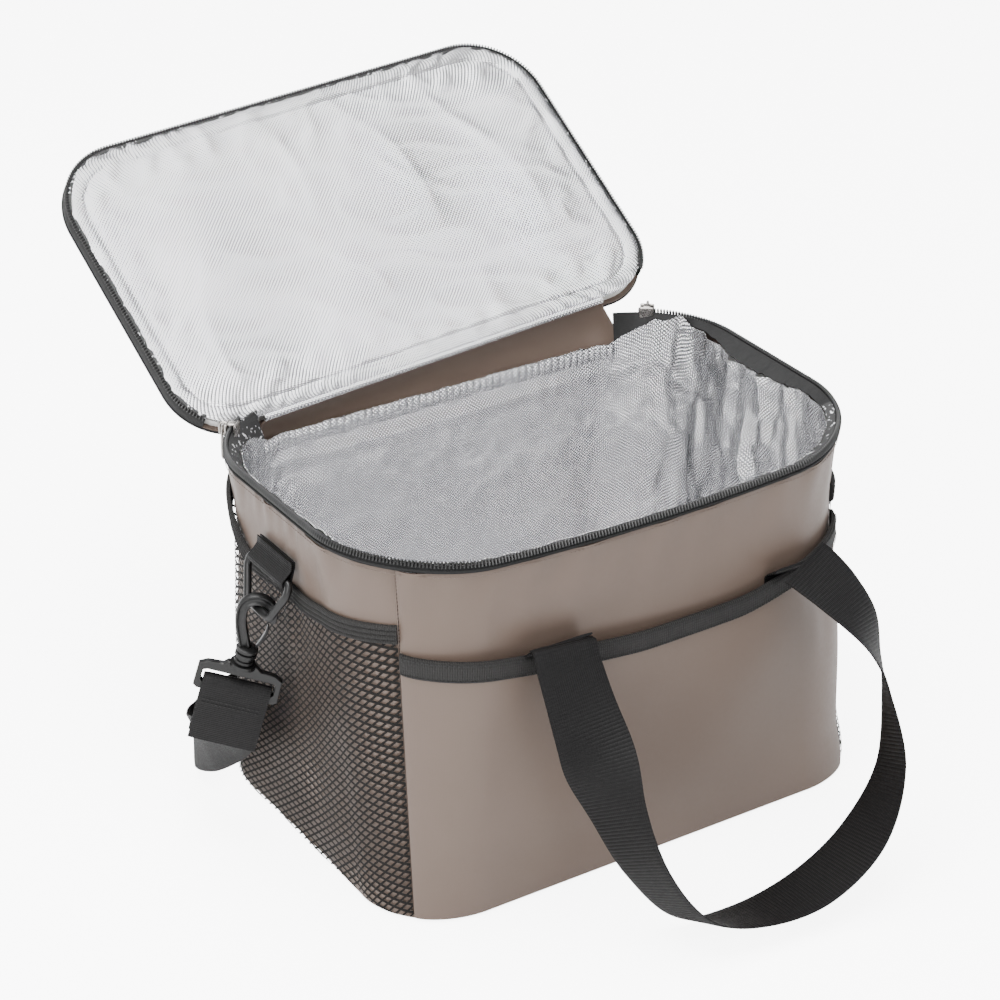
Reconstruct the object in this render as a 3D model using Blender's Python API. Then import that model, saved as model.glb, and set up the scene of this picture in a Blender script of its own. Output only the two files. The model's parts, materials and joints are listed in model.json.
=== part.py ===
"""Soft insulated cooler bag with its lid unzipped and folded back.

Frame: +X along the long side, the front faces -Y, +Z up.
Origin: centre of the underside of the base panel, on the floor.
Metres throughout. Every physical piece is one named object.
"""

import math

import bmesh
import bpy
from mathutils import Matrix, Vector

MM = 0.001
GAP = 0.3 * MM

# Body shell: rounded rectangles at the base and at the rim, lofted.
HEIGHT = 0.220
BASE_WIDTH, BASE_DEPTH, BASE_CORNER = 0.318, 0.235, 0.050
RIM_WIDTH, RIM_DEPTH, RIM_CORNER = 0.330, 0.216, 0.069
FRONT_BOW = 0.008

# Wall build-up, from the outside in.
FABRIC = 1.2 * MM
FOAM = 5.0 * MM
FOIL = 0.6 * MM
BASE_FABRIC = 1.5 * MM
BASE_FOAM = 4.8 * MM

# Heights of the wall's layers.
PANEL_TOP = 0.2085
BACK_PANEL_TOP = 0.1960
FOIL_TOP = 0.2180
BACK_FOIL_TOP = 0.1980
HINGE_STRIP_TOP, HINGE_LEAN, HINGE_SLOPE = 0.2065, 2.2 * MM, 5.0 * MM

# Zip: each half is a tape with a row of teeth.
TAPE = 1.0 * MM
BODY_TEETH_BOTTOM = 0.2171
LID_TEETH_BOTTOM = 0.2230
TEETH_HEIGHT = 2.6 * MM
TEETH_OUT, TEETH_IN = -1.0 * MM, 1.6 * MM

# Lid, in its closed place. It is stored turned back about its hinge.
LID_WIDTH, LID_FRONT, LID_BACK = 0.3296, -0.108, 0.090
LID_SHIFT = 0.003
LID_FRONT_CORNER, LID_BACK_CORNER = 0.044, 0.046
LID_TAPE_TOP = 0.2312
LID_AXIS_POINT = Vector((0.0, 0.0960, 0.2185))
LID_AXIS = Vector((1.0, 0.028, 0.018)).normalized()
LID_OPEN = math.radians(145.0)

# Pockets: how far they stand off the wall at their mouths.
FRONT_POCKET_DEPTH, SIDE_POCKET_DEPTH = 6.5 * MM, 6.8 * MM
POCKET_FABRIC = 1.0 * MM
BINDING_HEIGHT, BINDING_MIDDLE, BINDING_RISE = 12.0 * MM, 0.150, 0.015
ELASTIC_HEIGHT, ELASTIC_MIDDLE, ELASTIC_RISE = 10.0 * MM, 0.171, 0.012

# Webbing.
HANDLE_WIDTH, HANDLE_THICKNESS = 0.040, 1.6 * MM
STRAP_WIDTH, STRAP_THICKNESS = 0.038, 1.4 * MM
FRONT_HANDLE_X = (-0.065, 0.097)
BACK_HANDLE_X = 0.080

# Hardware of the shoulder strap, on the left; the right is its mirror image.
RING_BAR = 1.9 * MM
RING_AXIS_X, RING_AXIS_Z = -0.1700, 0.1780
RING_LEAN = math.radians(20.0)
RING_TOP_HALF, RING_FOOT_HALF, RING_DROP = 0.0215, 0.0125, 0.0235
HOOK_BAR = 2.25 * MM
HOOK_RADIUS = 8.3 * MM
HOOK_ACROSS = Vector((0.811, -0.519, -0.270)).normalized()
HOOK_UP = Vector((0.227, -0.145, 0.963)).normalized()


# ---------------------------------------------------------------- helpers

def clear_scene():
    for obj in list(bpy.data.objects):
        bpy.data.objects.remove(obj, do_unlink=True)


MATERIALS = {}


def material(name, colour, roughness, metallic=0.0):
    """One Principled material for each sub-part, made on first use."""
    if name in MATERIALS:
        return MATERIALS[name]
    made = bpy.data.materials.new(name)
    made.use_nodes = True
    shader = made.node_tree.nodes["Principled BSDF"]
    shader.inputs["Base Color"].default_value = (*colour, 1.0)
    shader.inputs["Roughness"].default_value = roughness
    shader.inputs["Metallic"].default_value = metallic
    MATERIALS[name] = made
    return made


def taupe(name):
    return material(name + "_fabric", (0.27, 0.215, 0.175), 0.62)


def foil(name):
    return material(name + "_foil", (0.80, 0.80, 0.81), 0.28, 0.9)


def black_webbing(name):
    return material(name + "_webbing", (0.018, 0.018, 0.018), 0.75)


def black_plastic(name):
    return material(name + "_plastic", (0.02, 0.02, 0.02), 0.4)


def white_foam(name):
    return material(name + "_foam", (0.85, 0.85, 0.83), 0.9)


def black_mesh(name):
    return material(name + "_net", (0.06, 0.05, 0.045), 0.8)


def nickel(name):
    return material(name + "_metal", (0.62, 0.60, 0.57), 0.3, 1.0)


def make_object(name, points, faces, look, parent=None):
    """A closed mesh with its faces turned outwards."""
    mesh = bpy.data.meshes.new(name)
    mesh.from_pydata([tuple(p) for p in points], [], faces)
    shaped = bmesh.new()
    shaped.from_mesh(mesh)
    bmesh.ops.recalc_face_normals(shaped, faces=shaped.faces)
    if shaped.calc_volume(signed=True) < 0.0:
        bmesh.ops.reverse_faces(shaped, faces=shaped.faces)
    shaped.to_mesh(mesh)
    shaped.free()
    mesh.shade_smooth()
    mesh.set_sharp_from_angle(angle=math.radians(35.0))
    obj = bpy.data.objects.new(name, mesh)
    obj.data.materials.append(look)
    bpy.context.scene.collection.objects.link(obj)
    if parent is not None:
        obj.parent = parent
    return obj


def axis_empty(name, place):
    """An empty on a joint's axis; its children turn or slide with it."""
    empty = bpy.data.objects.new(name, None)
    empty.matrix_world = place
    bpy.context.scene.collection.objects.link(empty)
    return empty


def tube_faces(stations, sides, closed=False):
    """Side faces between rings of points, and end caps on an open run."""
    faces = []
    runs = stations if closed else stations - 1
    for i in range(runs):
        j = (i + 1) % stations
        for k in range(sides):
            m = (k + 1) % sides
            faces.append((i * sides + k, i * sides + m, j * sides + m, j * sides + k))
    if not closed:
        faces.append(tuple(range(sides)))
        faces.append(tuple(range((stations - 1) * sides, stations * sides)))
    return faces


def turns_about(obj, point):
    """Moves an object's origin onto its joint's axis and leaves its shape in place."""
    obj.data.transform(Matrix.Translation(-point))
    obj.location = point


def join_shapes(obj, other, operation):
    """Unite with, or cut by, a hidden second shape."""
    other.hide_render = True
    other.display_type = "WIRE"
    change = obj.modifiers.new(operation.lower(), "BOOLEAN")
    change.operation = operation
    change.object = other
    change.solver = "EXACT"
    return obj


def box_shape(name, low, high, look, parent=None):
    xs, ys, zs = zip(low, high)
    points = [(x, y, z) for x in xs for y in ys for z in zs]
    faces = [(0, 1, 3, 2), (4, 6, 7, 5), (0, 4, 5, 1), (2, 3, 7, 6), (0, 2, 6, 4), (1, 5, 7, 3)]
    return make_object(name, points, faces, look, parent)


# ---------------------------------------------------------------- body walls

MID_ANGLES = (225.0, 315.0, 45.0, 135.0)
CORNER_SIGNS = ((-1, -1), (1, -1), (1, 1), (-1, 1))
CORNER_SHARE = 0.2
CORNER_STEPS = 4
ZIP_PAST_CORNER, ZIP_END_TAB = 0.045, 0.045
FRONT, RIGHT, BACK, LEFT = 0, 1, 2, 3


def blend(low, high, share):
    return low + (high - low) * share


def wall_point(q, z, inset):
    """The wall at height z. q runs once round from 0 to 4, a unit to each side panel,
    from the middle of one corner to the middle of the next, beginning at front left."""
    side = math.floor(q) % 4
    v = q - math.floor(q)
    share = z / HEIGHT
    width = blend(BASE_WIDTH, RIM_WIDTH, share) / 2 - inset
    depth = blend(BASE_DEPTH, RIM_DEPTH, share) / 2 - inset
    radius = blend(BASE_CORNER, RIM_CORNER, share) - inset

    def on_corner(index, angle):
        sx, sy = CORNER_SIGNS[index % 4]
        turn = math.radians(angle)
        x = sx * (width - radius) + radius * math.cos(turn)
        y = sy * (depth - radius) + radius * math.sin(turn)
        return x, y

    start_angle = MID_ANGLES[side]
    end_angle = start_angle + 90.0
    if v <= CORNER_SHARE:
        x, y = on_corner(side, start_angle + 45.0 * v / CORNER_SHARE)
    elif v >= 1.0 - CORNER_SHARE:
        x, y = on_corner(side + 1, end_angle - 45.0 * (1.0 - v) / CORNER_SHARE)
    else:
        along = (v - CORNER_SHARE) / (1.0 - 2.0 * CORNER_SHARE)
        x0, y0 = on_corner(side, start_angle + 45.0)
        x1, y1 = on_corner(side + 1, start_angle + 45.0)
        x, y = blend(x0, x1, along), blend(y0, y1, along)
    across = min(1.0, abs(x) / width)
    ahead = max(0.0, -y / depth)
    y -= FRONT_BOW * share ** 2 * (1.0 - across ** 2) * ahead ** 3
    return Vector((x, y, z))


def stations(start, end, per_straight=6, trim=0.0006):
    """Places along the wall from start to end, at every bend of the corners."""
    marks = {start + trim, end - trim}
    for side in range(math.floor(start), math.ceil(end)):
        for i in range(CORNER_STEPS + 1):
            marks.add(side + CORNER_SHARE * i / CORNER_STEPS)
            marks.add(side + 1.0 - CORNER_SHARE * i / CORNER_STEPS)
        for i in range(1, per_straight):
            marks.add(side + CORNER_SHARE + (1.0 - 2 * CORNER_SHARE) * i / per_straight)
    kept = sorted(m for m in marks if start + trim <= m <= end - trim)
    return [m for m, after in zip(kept, kept[1:] + [9.0]) if after - m > 1e-5]


def constant(value):
    return lambda *where: value


def wall_layer(name, q_list, bottom, top, outer, inner, look, rows=5, closed=False):
    """A closed solid that follows the wall. bottom and top give heights from q;
    outer and inner give insets from q and the share of the height."""
    points = []
    for q in q_list:
        low, high = bottom(q), top(q)
        for k in range(rows + 1):
            points.append(wall_point(q, blend(low, high, k / rows), outer(q, k / rows)))
        for k in range(rows, -1, -1):
            points.append(wall_point(q, blend(low, high, k / rows), inner(q, k / rows)))
    faces = tube_faces(len(q_list), 2 * (rows + 1), closed)
    return make_object(name, points, faces, look)


def flat_layer(name, low, high, inset, look):
    """A level plate with the bag's outline at that height."""
    q_list = [q for q in stations(0.0, 4.0, trim=0.0) if q < 4.0 - 1e-6]
    points = [wall_point(q, low, inset) for q in q_list]
    points += [Vector((p.x, p.y, high)) for p in points]
    count = len(q_list)
    faces = [tuple(range(count)), tuple(range(count, 2 * count))]
    faces += [(i, (i + 1) % count, count + (i + 1) % count, count + i) for i in range(count)]
    return make_object(name, points, faces, look)


def stepped_down(q, normal, at_back):
    """A height that drops along the back wall, between the ends of the zip."""
    v = q - BACK
    share = (min(v, 1.0 - v) * CORNER_STEPS / CORNER_SHARE - 1.0)
    return blend(normal, at_back, min(1.0, max(0.0, share)))


def panel_top(q):
    return stepped_down(q, PANEL_TOP, BACK_PANEL_TOP)


PANEL_SIDES = (("front", FRONT), ("right_side", RIGHT), ("back", BACK), ("left_side", LEFT))


def make_panels():
    """Outer fabric: four wall panels seamed at the corners, and the base."""
    flat_layer("base_panel", 0.0, BASE_FABRIC, 0.0, taupe("base_panel"))
    for label, side in PANEL_SIDES:
        name = label + "_panel"
        wall_layer(name, stations(side, side + 1), constant(BASE_FABRIC + GAP), panel_top,
                   constant(0.0), constant(FABRIC), taupe(name))


def make_foam():
    """Closed-cell foam boards between the outer fabric and the foil."""
    inner_floor = BASE_FABRIC + BASE_FOAM + 2 * GAP
    flat_layer("base_foam", BASE_FABRIC + GAP, BASE_FABRIC + GAP + BASE_FOAM,
               FABRIC + GAP, white_foam("base_foam"))
    for label, side in PANEL_SIDES:
        name = label.replace("_side", "") + "_foam"
        wall_layer(name, stations(side, side + 1), constant(inner_floor),
                   lambda q: panel_top(q) - 2 * MM, constant(FABRIC + GAP), constant(FABRIC + GAP + FOAM), white_foam(name))


def make_liner():
    """Foil tub: one band round the walls, lower along the hinge, and a floor."""
    outer = FABRIC + FOAM + 2 * GAP
    floor_low = BASE_FABRIC + BASE_FOAM + 2 * GAP
    q_list = [q for q in stations(0.0, 4.0, trim=0.0) if q < 4.0 - 1e-6]
    wall_layer("liner_walls", q_list, constant(floor_low),
               lambda q: stepped_down(q, FOIL_TOP, BACK_FOIL_TOP),
               constant(outer), constant(outer + FOIL), foil("liner_walls"), closed=True)
    flat_layer("liner_floor", floor_low, floor_low + FOIL, outer + FOIL + GAP, foil("liner_floor"))


def bump(q):
    """Fullness of a pocket along its side: none at the seams, most in the middle."""
    return math.sin(math.pi * (q - math.floor(q))) ** 0.6


def edge_curve(q, middle, rise):
    """Height of a pocket's top edge, which dips between its seams."""
    return middle + rise * abs(2.0 * (q - math.floor(q)) - 1.0) ** 1.6


def side_bump(q):
    """Fullness of a side pocket, which the ring's tab holds down in the middle."""
    return math.sin(2.0 * math.pi * (q - math.floor(q))) ** 2


def make_pocket(names, side, depth, fullness, band_height, middle, rise, looks):
    """A patch pocket, open at the top, whose mouth is edged by a band."""
    def stand_off(q, share):
        return GAP + depth * fullness(q) * share ** 0.7

    def band_top(q):
        return edge_curve(q, middle, rise)

    def pocket_top(q):
        return band_top(q) - band_height - GAP

    bottom = constant(BASE_FABRIC + GAP)
    q_list = stations(side, side + 1, per_straight=8, trim=0.001)
    wall_layer(names[0], q_list, bottom, pocket_top,
               lambda q, share: -stand_off(q, share) - POCKET_FABRIC,
               lambda q, share: -stand_off(q, share), looks[0])
    wall_layer(names[1], q_list, lambda q: band_top(q) - band_height, band_top,
               lambda q, share: -stand_off(q, 1.0) - POCKET_FABRIC - 0.8 * MM,
               lambda q, share: -stand_off(q, 1.0), looks[1], rows=1)


def make_pockets():
    names = ("front_pocket_panel", "front_pocket_binding")
    make_pocket(names, FRONT, FRONT_POCKET_DEPTH, bump, BINDING_HEIGHT, BINDING_MIDDLE,
                BINDING_RISE, (taupe(names[0]), black_webbing(names[1])))
    for label, side in (("left", LEFT), ("right", RIGHT)):
        names = ("mesh_pocket_" + label, "pocket_elastic_" + label)
        make_pocket(names, side, SIDE_POCKET_DEPTH, side_bump, ELASTIC_HEIGHT, ELASTIC_MIDDLE,
                    ELASTIC_RISE, (black_mesh(names[0]), black_webbing(names[1])))


# ---------------------------------------------------------------- zip and hinge

def make_body_zip():
    """Tape and teeth round three sides of the rim, and the two taped ends."""
    q_list = stations(LEFT - ZIP_PAST_CORNER, LEFT + 3 + ZIP_PAST_CORNER, trim=0.0)
    wall_layer("body_zip_tape", q_list, constant(PANEL_TOP + GAP),
               constant(BODY_TEETH_BOTTOM - GAP), constant(0.0), constant(TAPE),
               black_webbing("body_zip_tape"), rows=1)
    wall_layer("body_zip_teeth", q_list, constant(BODY_TEETH_BOTTOM),
               constant(BODY_TEETH_BOTTOM + TEETH_HEIGHT), constant(TEETH_OUT),
               constant(TEETH_IN), black_plastic("body_zip_teeth"), rows=1)
    past_zip = ZIP_PAST_CORNER + 0.003
    for label, start in (("right", BACK + past_zip), ("left", LEFT - past_zip - ZIP_END_TAB)):
        name = "zip_end_tab_" + label
        wall_layer(name, stations(start, start + ZIP_END_TAB), lambda q: panel_top(q) + GAP,
                   constant(BODY_TEETH_BOTTOM), constant(0.0), constant(TAPE),
                   black_webbing(name), rows=1)


def make_hinge_strip():
    """Outer fabric that runs on above the back wall and leans in to the lid's hinge."""
    def inset(q, share):
        return HINGE_LEAN * share

    def strip_top(q):
        return HINGE_STRIP_TOP - HINGE_SLOPE * (q - BACK - 0.5)

    start = ZIP_PAST_CORNER + ZIP_END_TAB + 0.006
    wall_layer("hinge_strip", stations(BACK + start, BACK + 1 - start),
               lambda q: panel_top(q) + GAP, strip_top, inset,
               lambda q, share: inset(q, share) + FABRIC,
               taupe("hinge_strip"), rows=2)


def lid_edge(inset, per_corner=6):
    """The lid's outline from its back right corner, round the front, to its back left."""
    half = LID_WIDTH / 2 - inset
    points = []
    corners = ((1, LID_BACK - inset, LID_BACK_CORNER - inset, 45.0, 0.0),
               (1, LID_FRONT + inset, LID_FRONT_CORNER - inset, 0.0, -90.0),
               (-1, LID_FRONT + inset, LID_FRONT_CORNER - inset, -90.0, -180.0),
               (-1, LID_BACK - inset, LID_BACK_CORNER - inset, -180.0, -225.0))
    for sign, edge_y, radius, start, end in corners:
        centre_y = edge_y - radius if edge_y > 0 else edge_y + radius
        for k in range(per_corner + 1):
            turn = math.radians(blend(start, end, k / per_corner))
            x = sign * (half - radius) + radius * math.cos(turn)
            points.append(Vector((x + LID_SHIFT, centre_y + radius * math.sin(turn), 0.0)))
    return points


def lid_back_corners(inset, per_corner=3):
    """The rest of the outline, along the hinge: back left to back right."""
    half = LID_WIDTH / 2 - inset
    radius = LID_BACK_CORNER - inset
    centre_y = LID_BACK - inset - radius
    points = []
    for sign, start, end in ((-1, 135.0, 90.0), (1, 90.0, 45.0)):
        for k in range(per_corner + 1):
            turn = math.radians(blend(start, end, k / per_corner))
            x = sign * (half - radius) + radius * math.cos(turn)
            points.append(Vector((x + LID_SHIFT, centre_y + radius * math.sin(turn), 0.0)))
    return points[1:-1]


def lid_local(points, z):
    return [Vector((p.x, p.y, z)) - LID_AXIS_POINT for p in points]


def lid_plate(name, low, high, inset, look, parent):
    outline = lid_edge(inset) + lid_back_corners(inset)
    count = len(outline)
    points = lid_local(outline, low) + lid_local(outline, high)
    faces = [tuple(range(count)), tuple(range(count, 2 * count))]
    faces += [(i, (i + 1) % count, count + (i + 1) % count, count + i) for i in range(count)]
    make_object(name, points, faces, look, parent)


def lid_band(name, low, high, outer, inner, look, parent):
    """A band round the lid's three zipped sides."""
    out, inn = lid_edge(outer), lid_edge(inner)
    points = []
    for a, b in zip(out, inn):
        points += lid_local([a], low) + lid_local([a], high)
        points += lid_local([b], high) + lid_local([b], low)
    make_object(name, points, tube_faces(len(out), 4), look, parent)


def make_lid():
    """Flat padded lid. Its pieces are made closed, then turned back on the hinge."""
    place = Matrix.Translation(LID_AXIS_POINT) @ Matrix.Rotation(-LID_OPEN, 4, LID_AXIS)
    hinge = axis_empty("lid_hinge_axis", place)
    teeth_top = LID_TEETH_BOTTOM + TEETH_HEIGHT
    lid_band("lid_zip_teeth", LID_TEETH_BOTTOM, teeth_top, TEETH_OUT, TEETH_IN,
             black_plastic("lid_zip_teeth"), hinge)
    lid_band("lid_zip_tape", teeth_top + GAP, LID_TAPE_TOP, 0.0, TAPE,
             black_webbing("lid_zip_tape"), hinge)
    foil_low = teeth_top - 0.6 * MM
    foam_low = foil_low + FOIL + GAP
    lid_plate("lid_liner", foil_low, foil_low + FOIL, 4 * MM, foil("lid_liner"), hinge)
    lid_plate("lid_foam", foam_low, LID_TAPE_TOP - GAP, 4 * MM, white_foam("lid_foam"), hinge)
    lid_plate("lid_outer_panel", LID_TAPE_TOP + GAP, LID_TAPE_TOP + GAP + FABRIC, 0.0,
              taupe("lid_outer_panel"), hinge)
    low = Vector((-0.106, LID_BACK + GAP, foil_low)) - LID_AXIS_POINT
    high = Vector((0.112, LID_BACK + 2.6 * MM, LID_TAPE_TOP)) - LID_AXIS_POINT
    box_shape("lid_hinge_hem", low, high, taupe("lid_hinge_hem"), hinge)


# ---------------------------------------------------------------- sliders

PIN_OUT, PIN_HEIGHT = 4.4 * MM, 0.2196
SLIDER_ANGLES = {"left": 45.0, "right": 50.0}
PULLER_LENGTH, PULLER_HALF, PULLER_THICK = 0.020, 4.0 * MM, 1.2 * MM


def slider_frame(label):
    """Axes of a slider, at the centre of its back corner: along the zip, outwards, and up."""
    side_x = -1.0 if label == "left" else 1.0
    turn = math.radians(SLIDER_ANGLES[label])
    centre = Vector((side_x * (RIM_WIDTH / 2 - RIM_CORNER), RIM_DEPTH / 2 - RIM_CORNER, 0.0))
    out = Vector((side_x * math.cos(turn), math.sin(turn), 0.0))
    along = out.cross(Vector((0.0, 0.0, 1.0))) * -1.0
    axes = Matrix((along, out, Vector((0.0, 0.0, 1.0)))).transposed().to_4x4()
    return Matrix.Translation(centre) @ axes


def make_slider(label):
    """Two plates joined by a neck between the rows of teeth, with a bail for the puller.
    Boxes are given in millimetres along the zip, outwards from the rim, and up."""
    place = axis_empty("slider_axis_" + label, slider_frame(label))
    name = "slider_" + label
    look = nickel(name)

    def block(piece_name, low, high):
        shift = Vector((0.0, RIM_CORNER, 0.0))
        return box_shape(piece_name, Vector(low) * MM + shift, Vector(high) * MM + shift, look, place)

    body = block(name, (-4.5, 1.4, 212.5), (4.5, 3.0, 222.3))
    pieces = (((-4.5, -3.9, 212.5), (4.5, -2.4, 222.3)),
              ((-2.0, -2.6, 220.3), (2.0, 1.6, 222.3)),
              ((-0.8, 1.6, 221.1), (0.8, 7.2, 222.3)),
              ((-0.8, 6.0, 214.0), (0.8, 7.2, 222.3)),
              ((-0.8, 2.6, 214.0), (0.8, 7.2, 215.2)))
    for count, (low, high) in enumerate(pieces):
        join_shapes(body, block(name + "_piece_" + str(count), low, high), "UNION")
    pin_place = Matrix.Translation((0.0, RIM_CORNER + PIN_OUT, PIN_HEIGHT))
    pin = axis_empty("puller_axis_" + label, slider_frame(label) @ pin_place)
    make_puller("puller_" + label, pin)


def make_puller(name, pin):
    """Flat tongue with a long eye round the bail, hanging down."""
    look = nickel(name)
    bar, eye_end = PULLER_THICK / 2, 9.0 * MM
    chamfer = 2.0 * MM
    tip = PULLER_LENGTH
    outline = [(-PULLER_HALF, -bar), (PULLER_HALF, -bar), (PULLER_HALF, tip - chamfer),
               (PULLER_HALF - chamfer, tip), (chamfer - PULLER_HALF, tip), (-PULLER_HALF, tip - chamfer)]
    turn = Matrix.Rotation(math.radians(-90.0), 4, "X")

    def tongue(points, thick):
        flat = [turn @ Vector((x, y, -thick / 2)) for x, y in points]
        return flat + [turn @ Vector((x, y, thick / 2)) for x, y in points]

    count = len(outline)
    faces = [tuple(range(count)), tuple(range(count, 2 * count))]
    faces += [(i, (i + 1) % count, count + (i + 1) % count, count + i) for i in range(count)]
    body = make_object(name, tongue(outline, PULLER_THICK), faces, look, pin)
    eye = [(-2.0 * MM, bar), (2.0 * MM, bar), (2.0 * MM, eye_end), (-2.0 * MM, eye_end)]
    faces = [(0, 1, 2, 3), (4, 5, 6, 7)] + [(i, (i + 1) % 4, 4 + (i + 1) % 4, 4 + i) for i in range(4)]
    cutter = make_object(name + "_eye", tongue(eye, 3 * PULLER_THICK), faces, look, pin)
    join_shapes(body, cutter, "DIFFERENCE")


# ---------------------------------------------------------------- webbing

def smooth_route(route, steps):
    """Catmull-Rom curve through a route of (centre, width direction) pairs."""
    count = len(route)
    curve = []
    for i in range(count - 1):
        window = [route[max(0, min(count - 1, i + k))] for k in (-1, 0, 1, 2)]
        for step in range(steps):
            t = step / steps
            weights = (-0.5 * t + t * t - 0.5 * t ** 3, 1 - 2.5 * t * t + 1.5 * t ** 3,
                       0.5 * t + 2 * t * t - 1.5 * t ** 3, -0.5 * t * t + 0.5 * t ** 3)
            curve.append(tuple(sum((w * p[part] for w, p in zip(weights, window)), Vector((0, 0, 0)))
                               for part in (0, 1)))
    curve.append(route[-1])
    return curve


def ribbon(name, route, width, thickness, look, steps=3, parent=None):
    """Flat webbing swept along a route."""
    curve = smooth_route(route, steps)
    points = []
    for i, (centre, across) in enumerate(curve):
        ahead = (curve[min(i + 1, len(curve) - 1)][0] - curve[max(i - 1, 0)][0]).normalized()
        side = (across - ahead * across.dot(ahead)).normalized()
        face = ahead.cross(side)
        for s, f in ((-1, -1), (1, -1), (1, 1), (-1, 1)):
            points.append(centre + side * (s * width / 2) + face * (f * thickness / 2))
    return make_object(name, points, tube_faces(len(curve), 4), look, parent)


def to_route(rows, origin=Vector((0.0, 0.0, 0.0))):
    """Rows of x, y, z in millimetres and a width direction, as vectors from an origin."""
    return [(Vector((x, y, z)) * MM - origin, Vector(across)) for x, y, z, across in rows]


# The front handle drops forward in one long loop that touches the floor.
FRONT_HANDLE_AXIS = Vector((0.016, -0.1250, 0.1600))
FRONT_HANDLE_ROUTE = (
    (-65, -125.0, 160, (-1.00, 0.00, 0.10)),
    (-65, -139, 139, (-1.00, -0.03, 0.00)),
    (-63, -153, 114, (-0.95, 0.18, -0.25)),
    (-60, -167, 84, (-0.45, 0.78, -0.45)),
    (-53, -183, 53, (-0.15, 0.87, -0.48)),
    (-36, -199, 22, (0.01, 0.89, -0.46)),
    (-6, -208, 9, (0.05, 0.93, -0.33)),
    (27, -210, 11, (0.07, 0.98, -0.19)),
    (62, -211, 23, (0.03, 0.99, -0.14)),
    (89, -206, 46, (0.09, 0.94, -0.32)),
    (107, -194, 77, (0.29, 0.83, -0.48)),
    (113, -175, 112, (0.58, 0.70, -0.41)),
    (109, -153, 141, (0.90, 0.42, -0.08)),
    (97, -125.0, 160, (0.97, 0.24, 0.08)),
)

# The back handle drops straight down the back wall. One half; the other is its mirror.
BACK_HANDLE_AXIS = Vector((0.0, 0.1160, 0.1660))
BACK_HANDLE_HALF = (
    (80, 116.0, 166, (1.00, 0.00, 0.00)),
    (81, 120.5, 128, (1.00, 0.05, 0.00)),
    (80, 130.0, 88, (0.86, 0.50, 0.05)),
    (71, 144.5, 46, (0.25, 0.95, 0.15)),
    (45, 149.5, 17, (0.08, 1.00, 0.05)),
    (0, 150.5, 8, (0.00, 1.00, 0.00)),
)


def make_handles():
    for name, axis_point, route in (
            ("front_handle", FRONT_HANDLE_AXIS, FRONT_HANDLE_ROUTE),
            ("back_handle", BACK_HANDLE_AXIS, back_handle_route())):
        axis = axis_empty(name + "_axis", Matrix.Translation(axis_point))
        ribbon(name, to_route(route, axis_point), HANDLE_WIDTH, HANDLE_THICKNESS,
               black_webbing(name), parent=axis)


def back_handle_route():
    mirrored = [(-x, y, z, (a, -b, -c)) for x, y, z, (a, b, c) in BACK_HANDLE_HALF[:-1]]
    turned = [(x, y, z, (a, b, c)) for x, y, z, (a, b, c) in BACK_HANDLE_HALF]
    return turned + [(x, y, z, (-a, -b, -c)) for x, y, z, (a, b, c) in reversed(mirrored)]


def make_anchors():
    """The handles' sewn ends: inside the front pocket, and flat on the back wall."""
    half = HANDLE_WIDTH / 2
    for label, x in zip(("left", "right"), FRONT_HANDLE_X):
        anchor("front_handle_anchor_" + label, x - half, x + half, FRONT, 0.095, 0.1475)
    for label, x in (("left", -BACK_HANDLE_X), ("right", BACK_HANDLE_X)):
        anchor("back_handle_anchor_" + label, x - half, x + half, BACK, 0.112, 0.160)


def q_at(x, side):
    """The station on the front or back wall that has this x, found by halving."""
    low, high = side + 0.02, side + 0.98
    rising = wall_point(high, 0.13, 0.0).x > wall_point(low, 0.13, 0.0).x
    for _ in range(40):
        middle = (low + high) / 2
        if (wall_point(middle, 0.13, 0.0).x < x) == rising:
            low = middle
        else:
            high = middle
    return (low + high) / 2


def anchor(name, x0, x1, side, low, high):
    ends = sorted((q_at(x0, side), q_at(x1, side)))
    wall_layer(name, stations(*ends, trim=0.0), constant(low), constant(high),
               constant(-GAP - HANDLE_THICKNESS), constant(-GAP), black_webbing(name), rows=2)


# ---------------------------------------------------------------- strap hardware

MIRROR = Matrix.Scale(-1.0, 4, Vector((1.0, 0.0, 0.0)))


def sided(points, label):
    """Points of the left side as they are, or mirrored for the right side."""
    return [p if label == "left" else MIRROR @ p for p in points]


def make_tab(label):
    """A doubled webbing tab sewn to the side wall, folded round the ring's top bar."""
    wall_x = wall_point(LEFT + 0.5, 0.190, 0.0).x
    loop = RING_BAR + 0.5 * MM + STRAP_THICKNESS / 2
    near = wall_x - GAP - STRAP_THICKNESS / 2
    far = near - STRAP_THICKNESS - GAP
    path = [(near, 0.1960), (near, 0.1880)]
    for angle in range(20, -261, -35):
        turn = math.radians(angle)
        path.append((RING_AXIS_X + loop * math.cos(turn), RING_AXIS_Z + loop * math.sin(turn)))
    path += [(far, 0.1880), (far, 0.1960)]
    centres = sided([Vector((x, 0.0, z)) for x, z in path], label)
    route = [(centre, Vector((0.0, 1.0, 0.0))) for centre in centres]
    name = "ring_tab_" + label
    ribbon(name, route, STRAP_WIDTH, STRAP_THICKNESS, black_webbing(name), steps=1)


def swept_bar(name, path, radius, look, normal, closed=False, sides=8):
    """A round bar along a flat path, mitred at its corners."""
    count = len(path)
    points = []
    for i, here in enumerate(path):
        before = path[i - 1] if closed or i else here
        after = path[(i + 1) % count] if closed or i < count - 1 else here
        run_in = (here - before).normalized() if here != before else (after - here).normalized()
        run_out = (after - here).normalized() if after != here else run_in
        mitre = (run_in + run_out).normalized()
        stretch = 1.0 / max(0.5, mitre.dot(run_in))
        side = mitre.cross(normal).normalized() * stretch
        for k in range(sides):
            turn = 2 * math.pi * (k + 0.5) / sides
            points.append(here + side * (radius * math.cos(turn)) + normal * (radius * math.sin(turn)))
    return make_object(name, points, tube_faces(count, sides, closed), look)


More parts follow.
